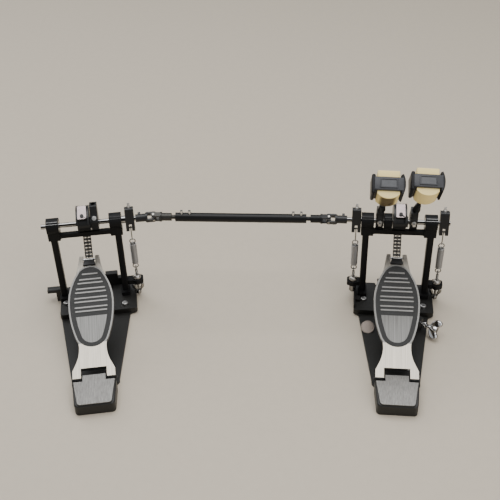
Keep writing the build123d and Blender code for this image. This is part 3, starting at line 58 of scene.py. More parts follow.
# %% Places of the two pedals
MAIN = Matrix.Scale(0.001, 4)
SLAVE_TURN = radians(13)
SLAVE = Matrix.Translation((-0.5847, -0.0426, 0)) @ Matrix.Rotation(SLAVE_TURN, 4, "Z") @ MAIN
PEDALS = (("main", MAIN), ("slave", SLAVE))
SHAFT_Z = 186.0
BOARD_TILT = radians(20)
BOARD_TOP = Vector((0, -244.5, 30))
CHAIN_PIN_Y, CHAIN_PIN_Z = -12.5, 109.7587
RIGHT_LEAN, LEFT_LEAN, SLAVE_LEAN = 32.5, 35.2, 2
RIGHT_TILT, LEFT_TILT = 3.5, 2.1
RIGHT_X, LEFT_X, SLAVE_X = 81.7, -78.8, 85.0
BOLT_PLACE = Vector((45.0, -87.0, 20.0))
BOLT_WAY = Vector((0.8212, -0.5706, 0))
BOARD = Matrix.Translation(BOARD_TOP) @ Matrix.Rotation(BOARD_TILT, 4, "X")
print("slave pedal's place, m:", [round(c, 4) for c in SLAVE.translation])

# %% [markdown]
# Every new piece starts as an empty bmesh and ends as one object at the origin, with its place in its mesh.
# One helper does that last step: it sets smooth shading by angle, gives the piece its materials and hands it
# to the body that carries it. Faces that need another material than the first carry its number already.

# %% Helper that finishes a piece
scene_collection = bpy.context.scene.collection


def finish_piece(bm, name, materials, body, place, stands_for=(), smooth=radians(35), even=False):
    """Turn a bmesh in a pedal's millimetres into a finished object riding on its body."""
    bmesh.ops.transform(bm, matrix=place, verts=bm.verts)
    bmesh.ops.recalc_face_normals(bm, faces=bm.faces)
    mesh = bpy.data.meshes.new(name)
    for face in bm.faces:
        face.smooth = True
    for edge in bm.edges:
        if len(edge.link_faces) == 2 and edge.calc_face_angle(0) > smooth:
            edge.smooth = False
    bm.to_mesh(mesh)
    bm.free()
    piece = bpy.data.objects.new(name, mesh)
    scene_collection.objects.link(piece)
    for material in materials:
        mesh.materials.append(material)
    if even:
        shading = piece.modifiers.new("even shading", "WEIGHTED_NORMAL")
        shading.keep_sharp = True
    if body:
        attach(piece, body)
    if stands_for:
        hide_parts(*stands_for)
    return piece


# %% [markdown]
# Most fittings are plain solids: pins are cylinders, clips are rounded boxes, and wings are flat outlines
# pulled to a thickness. Operators make all of these; each helper's matrix says where the shape's own axes
# lie.

# %% Cylinders, boxes and plates
def moved(x, y, z):
    """Matrix that only shifts."""
    return Matrix.Translation((x, y, z))


def frame_at(origin, z_way, x_way=(1, 0, 0)):
    """Matrix with its Z along one direction and its X as near as may be to another."""
    z = Vector(z_way).normalized()
    y = z.cross(Vector(x_way)).normalized()
    x = y.cross(z)
    return Matrix.Translation(origin) @ Matrix((x, y, z)).transposed().to_4x4()


def edges_of(verts):
    """The edges that touch the given vertices, each once."""
    return list(dict.fromkeys(e for v in verts for e in v.link_edges))


def rod(bm, radius, start, end, segments):
    """Add a capped cylinder from one point to another."""
    start, end = Vector(start), Vector(end)
    way = end - start
    turn = way.to_track_quat("Z", "Y").to_matrix().to_4x4()
    bmesh.ops.create_cone(
        bm, cap_ends=True, segments=segments, radius1=radius, radius2=radius, depth=way.length,
        matrix=Matrix.Translation((start + end) / 2) @ turn,
    )


def round_edges(bm, edges, offset, steps, clamp=False):
    """Round edges with a number of faces across each; clamp stops them from meeting."""
    return bmesh.ops.bevel(
        bm, geom=edges, offset=offset, segments=steps, profile=0.5, affect="EDGES", material=-1,
        clamp_overlap=clamp,
    )


def block(bm, size, matrix, edge=0.0, steps=3):
    """Add a box of a size about a matrix's origin, with its edges rounded."""
    verts = bmesh.ops.create_cube(bm, size=1.0, matrix=matrix @ Matrix.Diagonal((*size, 1)))["verts"]
    if edge:
        round_edges(bm, edges_of(verts), edge, steps)
    return verts


def pull_out(bm, faces, way):
    """Extrude flat faces by a vector and keep them as the near cap; gives the moved vertices."""
    made = bmesh.ops.extrude_face_region(bm, geom=faces, use_keep_orig=True)["geom"]
    verts = [g for g in made if isinstance(g, bmesh.types.BMVert)]
    bmesh.ops.translate(bm, vec=way, verts=verts)
    return verts


def plate(bm, outline, thickness, matrix, edge, steps):
    """Pull a flat outline, given in the matrix's XY plane, to a thickness and round its edges."""
    face = bm.faces.new([bm.verts.new(matrix @ Vector((x, y, 0))) for x, y in outline])
    verts = pull_out(bm, [face], matrix.to_3x3() @ Vector((0, 0, thickness)))
    round_edges(bm, edges_of(verts + list(face.verts)), edge, steps)


def slot_of(bm, first, number):
    """Give every face from a place in the face list on a material number."""
    bm.faces.ensure_lookup_table()
    for face in bm.faces[first:]:
        face.material_index = number


# %% [markdown]
# Nuts and cones are turned on a lathe, and eyes and springs are bent from round wire. The spin operator does
# both: it sweeps a profile or a wire's section about an axis. A full turn ends where it began, so its first
# and last points are merged.

# %% Turned shapes and bent wire
RING_SIDES = 10


def spun(bm, geom, matrix, angle, steps, closed=False, rise=0.0):
    """Sweep geometry about the matrix's Z axis, rising a little at every step."""
    axis = matrix.col[2].xyz
    bmesh.ops.spin(
        bm, geom=geom, cent=matrix.translation, axis=axis, dvec=axis * rise, angle=angle, steps=steps,
        use_merge=closed, use_duplicate=False,
    )


def turned(bm, profile, matrix, steps):
    """Lathe a profile of (radius, height) points about the matrix's Z axis."""
    points = [bm.verts.new(matrix @ Vector((r, 0, h))) for r, h in profile]
    edges = [bm.edges.new(pair) for pair in zip(points, points[1:])]
    spun(bm, points + edges, matrix, 2 * pi, steps, closed=True)
    bmesh.ops.remove_doubles(bm, verts=bm.verts, dist=1e-4)


def wire_section(bm, radius, wire, sides, matrix):
    """Round section of a wire that stands at a radius from the matrix's Z axis."""
    upright = matrix @ moved(radius, 0, 0) @ Matrix.Rotation(pi / 2, 4, "X")
    verts = bmesh.ops.create_circle(bm, segments=sides, radius=wire, matrix=upright)["verts"]
    return list(verts) + edges_of(verts)


def ring(bm, radius, wire, matrix, steps):
    """Add a round wire bent to a closed ring in the matrix's XY plane."""
    spun(bm, wire_section(bm, radius, wire, RING_SIDES, matrix), matrix, 2 * pi, steps, closed=True)
    bmesh.ops.remove_doubles(bm, verts=bm.verts, dist=1e-5)


# %% [markdown]
# ## Finishes
# Four effects come back in many finishes, so each is a node group made once: fine grain that roughens paint
# and castings, streaks left by brushing, specks of dust with rubbed spots, and wear on edges. Each group
# only puts out a mask or a normal. The shader itself stays in the material, with its fixed values on its own
# sockets.

# %% Helpers that build node trees
def node_into(tree, kind, inputs, **settings):
    """Add a node; settings are its own properties, inputs give each socket a link or a plain value."""
    node = tree.nodes.new("ShaderNode" + kind)
    for label, value in settings.items():
        setattr(node, label, value)
    for socket, source in inputs.items():
        if isinstance(source, bpy.types.NodeSocket):
            tree.links.new(source, node.inputs[socket])
        else:
            node.inputs[socket].default_value = source
    return node


def noise_into(tree, vector, scale, detail, roughness=0.5):
    """Noise texture read at given coordinates."""
    inputs = {"Vector": vector, "Scale": scale, "Detail": detail, "Roughness": roughness}
    return node_into(tree, "TexNoise", inputs).outputs["Fac"]


def ramp_into(tree, value, low, high):
    """Stretch a value between two limits to 0..1."""
    inputs = {"Value": value, "From Min": low, "From Max": high}
    return node_into(tree, "MapRange", inputs).outputs["Result"]


def bump_into(tree, height, strength, distance):
    """Normal of a surface that rises with a value, by a distance in metres."""
    inputs = {"Height": height, "Strength": strength, "Distance": distance}
    return node_into(tree, "Bump", inputs).outputs["Normal"]


def combined(tree, operation, first, second):
    """Two values put together by a Math node."""
    return node_into(tree, "Math", {0: first, 1: second}, operation=operation).outputs[0]


def new_group(name, numbers, outputs):
    """A node group that reads a Vector and some named numbers; gives it with its inner ends."""
    group = bpy.data.node_groups.new(name, "ShaderNodeTree")
    group.interface.new_socket(name="Vector", in_out="INPUT", socket_type="NodeSocketVector")
    for label, default in numbers.items():
        socket = group.interface.new_socket(name=label, in_out="INPUT", socket_type="NodeSocketFloat")
        socket.default_value = default
    for label in outputs:
        kind = "NodeSocketVector" if label == "Normal" else "NodeSocketFloat"
        group.interface.new_socket(name=label, in_out="OUTPUT", socket_type=kind)
    given = group.nodes.new("NodeGroupInput").outputs
    wanted = group.nodes.new("NodeGroupOutput").inputs
    return group, given, wanted


# %% [markdown]
# Grain is even noise. Streaks are noise stretched a hundredfold along one axis, as a brushing belt leaves
# them. Both lift the surface a little and give their mask, so that colour can follow.

# %% Grain and brushed streaks
GRAIN, given, wanted = new_group("Grain", {"Scale": 900.0, "Depth": 0.2}, ("Mask", "Normal"))
mask = noise_into(GRAIN, given["Vector"], given["Scale"], 3.0)
GRAIN.links.new(mask, wanted["Mask"])
GRAIN.links.new(bump_into(GRAIN, mask, given["Depth"], 0.0004), wanted["Normal"])

STREAKS, given, wanted = new_group("Brushed streaks", {"Scale": 300.0, "Depth": 0.15}, ("Mask", "Normal"))
stretch = node_into(STREAKS, "Mapping", {"Vector": given["Vector"], "Scale": (4.0, 0.04, 4.0)})
lines = noise_into(STREAKS, stretch.outputs["Vector"], given["Scale"], 4.0, 0.7)
mask = ramp_into(STREAKS, lines, 0.3, 0.7)
STREAKS.links.new(mask, wanted["Mask"])
STREAKS.links.new(bump_into(STREAKS, mask, given["Depth"], 0.0002), wanted["Normal"])
print("made:", GRAIN.name, "and", STREAKS.name)

# %% [markdown]
# Dust is fine specks, and rubbed spots are wide clouds that change the gloss. Wear shows where a piece's
# "edge" attribute is high. Noise breaks it into patches, unless Fill says how much of it stays whole.

# %% Dust, rubbed spots and worn edges
SPECK_SCALE, DRIFT_SCALE, PATCH_SCALE = 420.0, 38.0, 130.0

DUST, given, wanted = new_group("Dust and rubbed spots", {"Amount": 0.5}, ("Dust", "Rub"))
specks = ramp_into(DUST, noise_into(DUST, given["Vector"], SPECK_SCALE, 5.0, 0.8), 0.58, 0.75)
drift = ramp_into(DUST, noise_into(DUST, given["Vector"], DRIFT_SCALE, 3.0), 0.4, 0.75)
for source, label in ((specks, "Dust"), (drift, "Rub")):
    DUST.links.new(combined(DUST, "MULTIPLY", source, given["Amount"]), wanted[label])

WEAR, given, wanted = new_group("Edge wear", {"Edge": 0.0, "Fill": 0.0, "Amount": 0.6}, ("Wear",))
broken = ramp_into(WEAR, noise_into(WEAR, given["Vector"], PATCH_SCALE, 4.0, 0.7), 0.35, 0.65)
filled = combined(WEAR, "MAXIMUM", broken, given["Fill"])
kept = combined(WEAR, "MULTIPLY", given["Edge"], filled)
WEAR.links.new(combined(WEAR, "MULTIPLY", kept, given["Amount"]), wanted["Wear"])
print("node groups:", [group.name for group in bpy.data.node_groups])

# %% [markdown]
# A finish is then a Principled shader, a base colour that drifts a little towards a second colour, a
# roughness that varies with the rubbed spots, and the grain or streaks as its normal. Painted, plated,
# moulded and brushed finishes differ only in these values. On polished metals, a grey ramp darkens the
# colour by the angle at which a face is seen: a painted reflection of the dark parts of a room. It changes
# with the view, so real reflections are the better way.

# %% Helper that makes a finish
DUST_COLOUR = (0.42, 0.39, 0.34, 1)


def mixed(tree, below, above, factor, blend="MIX"):
    """Colour that goes from one below to one above by a factor."""
    inputs = {"A": below, "B": above, "Factor": factor}
    return node_into(tree, "Mix", inputs, data_type="RGBA", blend_type=blend).outputs["Result"]


def painted_reflection_by_angle(tree, reflection_bands):
    """Painted reflection: a grey that follows the viewing angle, from (place, grey) stops."""
    angle = node_into(tree, "LayerWeight", {"Blend": 0.5})
    room = node_into(tree, "ValToRGB", {"Fac": angle.outputs["Facing"]})
    for k, (place, grey) in enumerate(reflection_bands):
        stop = room.color_ramp.elements[k] if k < 2 else room.color_ramp.elements.new(place)
        stop.position = place
        stop.color = (grey, grey, grey, 1)
    return room.outputs["Color"]


def finish(name, base, second, metallic, rough, grain, dust, worn=None, fill=0.0, shine=0.5, reflection_bands=None):
    """Material from two colours and a roughness range.

    grain is a scale and a depth, and a third value, the turn of its streaks, makes them brushed.
    worn colours the edges, shine is the specular level, bands paint a reflection that darkens by angle.
    """
    material = bpy.data.materials.new(name)
    material.use_nodes = True
    tree = material.node_tree
    shader = tree.nodes["Principled BSDF"]
    shader.inputs["Metallic"].default_value = metallic
    shader.inputs["Specular IOR Level"].default_value = shine
    at = tree.nodes.new("ShaderNodeTexCoord").outputs["Object"]
    dusting = node_into(tree, "Group", {"Vector": at, "Amount": dust}, node_tree=DUST).outputs
    scale, depth, *turn = grain
    inputs = {"Vector": at, "Scale": scale, "Depth": depth}
    if turn:
        along = node_into(tree, "Mapping", {"Vector": at, "Rotation": turn[0]}, vector_type="TEXTURE")
        inputs["Vector"] = along.outputs["Vector"]
    surface = node_into(tree, "Group", inputs, node_tree=STREAKS if turn else GRAIN).outputs
    colour = mixed(tree, (*base, 1), (*second, 1), surface["Mask"])
    if worn:
        edge = node_into(tree, "Attribute", {}, attribute_name="edge").outputs["Fac"]
        wearing = node_into(tree, "Group", {"Vector": at, "Edge": edge, "Fill": fill}, node_tree=WEAR)
        colour = mixed(tree, colour, (*worn, 1), wearing.outputs["Wear"])
    colour = mixed(tree, colour, DUST_COLOUR, dusting["Dust"])
    # Painted reflection: the colour is multiplied by a grey that follows the viewing angle.
    if reflection_bands:
        colour = mixed(tree, colour, painted_reflection_by_angle(tree, reflection_bands), 1.0, "MULTIPLY")
    gloss = node_into(tree, "MapRange", {"Value": dusting["Rub"], "To Min": rough[0], "To Max": rough[1]})
    for source, label in (
        (colour, "Base Color"), (gloss.outputs["Result"], "Roughness"), (surface["Normal"], "Normal"),
    ):
        tree.links.new(source, shader.inputs[label])
    return material


# %% [markdown]
# The castings are black powder coat, a little dusty from use and rubbed grey on their edges. The post frames
# are smoother and less shiny, the hubs a little glossier, and the driveshaft's tube is sprayed and even.

# %% Black paints
WORN = (0.11, 0.108, 0.1)
paint = finish(
    "powder_coat_black", (0.007, 0.0067, 0.0058), (0.014, 0.0134, 0.0116), 0.0, (0.42, 0.62), (1500, 0.25),
    0.08, worn=WORN, shine=0.4,
)
frame_paint = finish(
    "frame_paint_black", (0.005, 0.005, 0.0055), (0.01, 0.01, 0.01), 0.0, (0.42, 0.58), (1100, 0.12), 0.05,
    worn=WORN, shine=0.14,
)
hub_paint = finish(
    "hub_paint_black", (0.007, 0.007, 0.0075), (0.013, 0.013, 0.013), 0.0, (0.3, 0.5), (1300, 0.2), 0.06,
    worn=WORN, shine=0.4,
)
tube_paint = finish(
    "tube_paint_black", (0.005, 0.005, 0.005), (0.009, 0.009, 0.009), 0.0, (0.3, 0.45), (800, 0.05), 0.05,
    shine=0.25,
)

# %% [markdown]
# Footboards and heel plates are aluminium, brushed along their length, so the streaks are turned with the
# piece. Each area has its own tone, because it was brushed in a different way: a dark panel, a pale neck,
# and prongs and heel plates between the two.

# %% Brushed aluminium
TONES = {
    "board": ((0.09, 0.089, 0.085), (0.18, 0.177, 0.17)),
    "neck": ((0.34, 0.31, 0.26), (0.52, 0.476, 0.405)),
    "prongs": ((0.22, 0.203, 0.176), (0.32, 0.296, 0.258)),
    "heel": ((0.12, 0.117, 0.11), (0.235, 0.229, 0.218)),
}


def brushed(area, pedal):
    """Brushed aluminium in an area's tone, with its streaks along that pedal's board or heel plate."""
    tilt = 0 if area == "heel" else BOARD_TILT
    turn = SLAVE_TURN if pedal == "slave" else 0
    name = f"brushed_{area}" + ("_slave" if pedal == "slave" else "")
    return finish(name, *TONES[area], 1.0, (0.34, 0.5), (190, 0.3, (tilt, 0, turn)), 0.03)


metal = {(area, pedal): brushed(area, pedal) for area in TONES for pedal, place in PEDALS}
rim_metal = finish(
    "sanded_rim", (0.15, 0.147, 0.14), (0.23, 0.225, 0.215), 1.0, (0.4, 0.55), (420, 0.15), 0.04,
)
print("brushed finishes:", len(metal))

# %% [markdown]
# Shafts, springs and screws are bare or plated steel. How bright they are, how sharply they shine and how
# much oil has dulled them sets them apart. The chain is blackened and oiled, with bright rollers.

# %% Shiny steels
# The shiny steels below carry a painted reflection: greys by viewing angle for a room's light and dark.
PAINTED_ROOM_REFLECTION = ((0.0, 1.0), (0.85, 0.55), (0.3, 0.95), (0.5, 0.1), (0.68, 0.16))
steel = finish(
    "turned_steel", (0.5, 0.49, 0.47), (0.64, 0.63, 0.61), 1.0, (0.2, 0.34), (700, 0.08), 0.05, reflection_bands=PAINTED_ROOM_REFLECTION,
)
chrome = finish(
    "chrome", (0.74, 0.74, 0.74), (0.86, 0.86, 0.86), 1.0, (0.07, 0.16), (300, 0.02), 0.02, reflection_bands=PAINTED_ROOM_REFLECTION,
)
wire_steel = finish(
    "bent_wire", (0.4, 0.39, 0.37), (0.52, 0.51, 0.49), 1.0, (0.24, 0.36), (500, 0.04), 0.03,
    reflection_bands=((0.0, 0.9), (0.8, 0.12), (0.45, 0.35)),
)
roller_steel = finish(
    "roller_steel", (0.4, 0.39, 0.37), (0.54, 0.53, 0.51), 1.0, (0.2, 0.3), (500, 0.04), 0.03,
    reflection_bands=((0.0, 0.5), (0.8, 0.03), (0.12, 0.3), (0.3, 0.05)),
)
spring_steel = finish(
    "spring_wire", (0.46, 0.45, 0.44), (0.58, 0.57, 0.56), 1.0, (0.36, 0.46), (300, 0.0), 0.0,
    reflection_bands=((0.0, 1.0), (0.95, 0.06), (0.4, 0.9), (0.7, 0.4)),
)
dark_steel = finish(
    "shaft_steel", (0.34, 0.335, 0.325), (0.46, 0.45, 0.44), 1.0, (0.18, 0.3), (700, 0.05), 0.03,
    reflection_bands=((0.0, 0.04), (0.9, 0.3), (0.06, 0.12), (0.14, 1.0), (0.6, 0.9)),
)

# %% Dull steels
nut_steel = finish(
    "dull_plated_steel", (0.34, 0.32, 0.29), (0.5, 0.475, 0.435), 1.0, (0.34, 0.5), (600, 0.15), 0.08,
)
clamp_metal = finish(
    "clamp_plate_metal", (0.3, 0.255, 0.25), (0.42, 0.36, 0.355), 1.0, (0.4, 0.52), (220, 0.08), 0.04,
)
satin_steel = finish(
    "satin_steel", (0.4, 0.395, 0.385), (0.52, 0.515, 0.5), 1.0, (0.34, 0.46), (500, 0.1), 0.04,
)
key_steel = finish(
    "key_bolt_steel", (0.56, 0.55, 0.53), (0.74, 0.73, 0.71), 1.0, (0.3, 0.42), (500, 0.05), 0.03,
)
# The pale lip is a painted highlight along a slot's edges; the dark one is the same lip without it.
highlight_lip_metal = finish("painted_highlight_lip", (0.3, 0.3, 0.3), (0.42, 0.42, 0.41), 1.0, (0.3, 0.45), (500, 0.1), 0.03)
dull_lip = finish("dark_lip", (0.05, 0.05, 0.049), (0.09, 0.09, 0.088), 1.0, (0.4, 0.55), (500, 0.1), 0.03)
disc_metal = finish(
    "blank_disc_metal", (0.2, 0.168, 0.145), (0.3, 0.255, 0.222), 1.0, (0.34, 0.46), (500, 0.2), 0.06,
)
rod_steel = finish(
    "oiled_rod_steel", (0.03, 0.029, 0.026), (0.06, 0.058, 0.053), 0.6, (0.35, 0.48), (600, 0.06), 0.03,
)
black_steel = finish(
    "black_steel", (0.014, 0.014, 0.014), (0.028, 0.028, 0.028), 0.4, (0.4, 0.55), (700, 0.1), 0.03,
)
chain_black = finish(
    "oiled_chain", (0.012, 0.012, 0.012), (0.03, 0.029, 0.027), 0.6, (0.34, 0.48), (500, 0.1), 0.03,
)

# %% [markdown]
# The tread pads are rubber with a coarse grain, the beater heads grey and black plastic, and the felt a warm
# cream that has yellowed a little. The left beater's felt is worn dark where it was struck, so that finish
# reads the same edge attribute as the paint does, but hardly broken into patches.

# %% Rubber, plastic and felt
rubber = finish(
    "tread_rubber", (0.01, 0.01, 0.0095), (0.021, 0.0208, 0.0198), 0.0, (0.62, 0.85), (900, 0.5), 0.2,
)
head_plastic = finish(
    "head_plastic", (0.036, 0.037, 0.042), (0.055, 0.057, 0.063), 0.0, (0.36, 0.5), (1200, 0.2), 0.1,
    shine=0.35,
)
face_plastic = finish(
    "face_plastic", (0.006, 0.006, 0.007), (0.011, 0.011, 0.012), 0.0, (0.36, 0.5), (1200, 0.1), 0.05,
    shine=0.2,
)
window_plastic = finish(
    "window_plastic", (0.04, 0.042, 0.047), (0.085, 0.088, 0.095), 0.0, (0.3, 0.4), (140, 0.05), 0.06,
    shine=0.4,
)
CREAM = ((0.97, 0.74, 0.3), (1.0, 0.85, 0.43))
FELT = (*CREAM, 0.0, (0.85, 0.98), (650, 0.6), 0.0)
felt = finish("pressed_felt", *FELT, shine=0.2)
worn_felt = finish("worn_felt", *FELT, worn=(0.05, 0.032, 0.02), fill=0.75, shine=0.2)
print("materials so far:", len(bpy.data.materials))

# %% [markdown]
# Each CAD node now gets its finish: only its material slots are swapped, and its mesh stays as it is. A
# node's mesh may not be changed, but its material may, so the helper only swaps the material slots.
# Whatever is drawn again further down keeps this finish for its hidden original.

# %% Finishes on the CAD nodes
for material, names in (
    (paint, "main_base slave_base hoop_clamp_jaw"),
    (frame_paint, "main_frame slave_frame pillow_block"),
    (hub_paint, "right_hub left_hub slave_hub right_rocker left_rocker slave_rocker"),
    (hub_paint, "main_sprocket slave_sprocket main_yoke slave_yoke main_chain_anchor slave_chain_anchor"),
    (tube_paint, "drive_tube right_rod left_rod tube_yoke"),
    (metal["board", "main"], "main_footboard"),
    (metal["board", "slave"], "slave_footboard"),
    (metal["heel", "main"], "main_heel_plate"),
    (metal["heel", "slave"], "slave_heel_plate"),
    (rubber, "main_pad slave_pad"),
    (black_steel, "main_hinge_pin slave_hinge_pin"),
    (steel, "main_bearings slave_bearings"),
    (dark_steel, "main_shaft second_shaft slave_shaft"),
    (rod_steel, "drive_rod"),
    (clamp_metal, "main_chain_clamp slave_chain_clamp"),
    (chrome, "clamp_bolt tube_screws"),
    (satin_steel, "main_spur_bolts slave_spur_bolts"),
    (nut_steel, "main_cross slave_cross main_spring_adjusters slave_spring_adjuster"),
    (nut_steel, "right_pull_link left_pull_link slave_pull_link"),
    (spring_steel, "right_spring left_spring slave_spring"),
    (chain_black, "main_chain_wrap slave_chain_wrap main_chain_run slave_chain_run"),
    (head_plastic, "right_head left_head"),
    (felt, "right_felts left_felts"),
):
    for name in names.split():
        nodes[name].data.materials.clear()
        nodes[name].data.materials.append(material)
print("dressed", len(nodes), "nodes")

# %% [markdown]
# ## Castings with rounded edges
# A real casting has no knife edge: the mould leaves a small radius, and powder coat makes it rounder still.
# That radius is what catches the light and shows the form of a black part. So each CAD casting is copied,
# its flat faces are made whole again, and every sharp edge gets a small bevel. The middle line of each bevel
# is marked in an attribute called "edge", which the finish reads to rub the paint thin just there.

# %% Helper that rounds a casting's edges
SAME_POINT, SHORTEST_EDGE = 2e-3, 1e-3
FLAT, SHARP, SMOOTH = radians(1.5), radians(32), radians(50)


def softened(node, body, place, width, materials, chooser=None, seams=()):
    """Stand in for a CAD node with a copy whose edges are rounded; chooser picks a material per face.

    Each seam is the (point, normal) of a plane that splits faces, so that each side can have its own finish.
    """
    bm = bmesh.new()
    bm.from_mesh(nodes[node].data)
    bmesh.ops.transform(bm, matrix=place.inverted() @ nodes[node].matrix_world, verts=bm.verts)
    bmesh.ops.remove_doubles(bm, verts=bm.verts, dist=SAME_POINT)
    bmesh.ops.dissolve_degenerate(bm, edges=bm.edges, dist=SHORTEST_EDGE)
    bmesh.ops.dissolve_limit(
        bm, angle_limit=FLAT, verts=bm.verts, edges=bm.edges, use_dissolve_boundaries=False,
    )
    hard = [e for e in bm.edges if len(e.link_faces) == 2 and e.calc_face_angle(0) > SHARP]
    made = round_edges(bm, hard, width, 2, clamp=True)
    layer = bm.verts.layers.float.new("edge")
    bevelled = set(made["faces"])
    for vert in made["verts"]:
        if vert.is_valid and all(face in bevelled for face in vert.link_faces):
            vert[layer] = 1.0
    for point, normal in seams:
        bmesh.ops.bisect_plane(bm, geom=[*bm.verts, *bm.edges, *bm.faces], plane_co=point, plane_no=normal)
    if chooser:
        for face in bm.faces:
            face.material_index = chooser(face.calc_center_median())
    big = [face for face in bm.faces if len(face.verts) > 4]
    bmesh.ops.triangulate(bm, faces=big)
    finish_piece(bm, node + "_casting", materials, body, place, (node,), SMOOTH, True)


# %% [markdown]
# The bases, the post frames and the bearing block are plain black, and so are the clamp's jaw and the
# sprockets. Each has its own bevel width in millimetres: the bigger the casting, the rounder its edges.

# %% Plain black castings
for pedal, place in PEDALS:
    softened(f"{pedal}_base", f"{pedal}_stand", place, 0.9, [paint])
    softened(f"{pedal}_frame", f"{pedal}_stand", place, 0.8, [frame_paint])
softened("pillow_block", "main_stand", MAIN, 0.8, [frame_paint])
softened("hoop_clamp_jaw", "clamp_jaw", MAIN, 0.7, [paint])
CAMS = (("main", MAIN, "primary_shaft"), ("slave", SLAVE, "slave_cam"))
for pedal, place, cam in CAMS:
    softened(f"{pedal}_sprocket", cam, place, 0.45, [hub_paint])

# %% [markdown]
# Some castings hold a screw or pin that is part of the same CAD node. A chooser gives those faces their own
# finish: it gets the middle of a face and returns a material number, by where that face lies.

# %% Chain anchors and chain clamps
PIN_REACH = 2.1
CLAMP_REACH = 36.3


def anchor_chooser(centre):
    """Bright for the pin through the stop block that holds the chain's last link."""
    return 1 if hypot(centre.y - CHAIN_PIN_Y, centre.z - CHAIN_PIN_Z) < PIN_REACH else 0


def clamp_chooser(centre):
    """Dark for the screw that stands out of the clamp plate, pale for the plate."""
    return 1 if hypot(centre.y, centre.z - SHAFT_Z) > CLAMP_REACH else 0


for pedal, place, cam in CAMS:
    softened(f"{pedal}_chain_anchor", f"{pedal}_board", place, 0.5, [hub_paint, chrome], anchor_chooser)
    softened(f"{pedal}_chain_clamp", cam, place, 0.4, [clamp_metal, black_steel], clamp_chooser)

# %% [markdown]
# Hubs and rockers are locked to their shaft by a square key bolt, which is plated. On a hub it stands on the
# sloping face towards the player, so the test is made along that slope, and only near the bolt's own line.

# %% Hubs and rockers with their key bolts, and the beater rods
KEY_WAY = Vector((0, -13, 8.5)).normalized()
KEY_SEAT = Vector((0, -8.25, 15.5))
KEY_SINK, KEY_HALF = 0.3, 4.5
ROCKER_LEAN, ROCKER_TOP = radians(15), 23.05


def hub_chooser(lean):
    """Bright for the key bolt on the hub's sloping face towards the player, black for the rest."""
    lift = Matrix.Rotation(radians(lean), 3, "X")
    way = lift @ KEY_WAY
    middle = Vector((0, 0, SHAFT_Z)) + lift @ KEY_SEAT
    aside = Vector((0, -way.z, way.y))

    def choose(centre):
        out = centre - middle
        return 1 if out.dot(way) > KEY_SINK and abs(out.dot(aside)) < KEY_HALF else 0

    return choose


def rocker_chooser(centre):
    """Bright for the key bolt on top of a rocker, black for the block."""
    way = Vector((0, sin(ROCKER_LEAN), cos(ROCKER_LEAN)))
    return 1 if (centre - Vector((0, 0, SHAFT_Z))).dot(way) > ROCKER_TOP else 0


ROCKERS = (
    ("right", "primary_shaft", MAIN, RIGHT_X, RIGHT_LEAN),
    ("left", "secondary_shaft", MAIN, LEFT_X, LEFT_LEAN),
    ("slave", "slave_cam", SLAVE, SLAVE_X, SLAVE_LEAN),
)
for side, body, place, x, lean in ROCKERS:
    softened(f"{side}_hub", body, place, 0.6, [hub_paint, key_steel], hub_chooser(lean))
for side, body, place, x, lean in ROCKERS:
    softened(f"{side}_rocker", body, place, 0.7, [hub_paint, key_steel], rocker_chooser)
for side in ("right", "left"):
    softened(f"{side}_rod", f"{side}_beater", MAIN, 0.4, [tube_paint])

# %% [markdown]
# ## Footboards
# A footboard is cast aluminium. Its panel, neck and prongs are brushed lengthwise, each in its own tone,
# while the raised rim and the bars are only sanded. The chooser works in the board's own plane, where height
# tells the bars from the panel. Two seams across the board split the faces that would otherwise run from one
# tone to the next: one where the neck ends, one where the prongs start.

# %% Footboards and heel plates
NECK_END, PRONGS_START = 64.0, 150.0
UNDERSIDE, RAISED, SHADED_BARREL_END = -0.4, 1.1, 10
ON_BOARD = BOARD.inverted()


def board_chooser(centre):
    """0 panel, 1 sanded rim, bars and sides, 2 neck, 3 barrel's underside in painted shade, 4 prongs."""
    at = ON_BOARD @ centre
    # Painted shade: the barrel's underside turns black, for the dark gap under the hinge.
    if at.z < UNDERSIDE and at.y < SHADED_BARREL_END:
        return 3
    if at.z > RAISED:
        return 2 if at.y < NECK_END else 1
    if at.y > PRONGS_START:
        return 4
    return 1 if at.z < UNDERSIDE else 0


seams = [(BOARD @ Vector((0, y, 0)), BOARD.col[1].xyz) for y in (NECK_END, PRONGS_START)]
for pedal, place in PEDALS:
    panel, neck, prongs = (metal[area, pedal] for area in ("board", "neck", "prongs"))
    # Black steel on the barrel's underside is a painted shade for the dark gap under the hinge.
    tones = [panel, rim_metal, neck, black_steel, prongs]
    softened(f"{pedal}_footboard", f"{pedal}_board", place, 0.35, tones, board_chooser, seams)
    softened(f"{pedal}_heel_plate", f"{pedal}_stand", place, 0.5, [metal["heel", pedal]])

# %% [markdown]
# ## Chain
# The pedal pulls its sprocket through a double roller chain of 6.35 mm pitch. Each link plate has the shape
# of an eight. It starts as a circle; its upper half moves to one pivot, its lower half to the other, and the
# two points between are drawn in to the waist. Links take turns: two outer plates and one in the middle,
# then four inner ones. Rollers sit on every pivot. The wound part rides with the sprocket, and the straight
# part swings freely.

# %% Link plates
PITCH = 6.35
PLATE_HALF, WAIST = 3.0, 0.72
OUTER = ((-7.25, -6.15), (-0.45, 0.45), (6.15, 7.25))
INNER = ((-5.75, -4.85), (-1.75, -0.85), (0.85, 1.75), (4.85, 5.75))
ROLLERS = ((-4.8, -1.8, 2.4), (1.8, 4.8, 2.4), (-7.4, 7.4, 0.95))


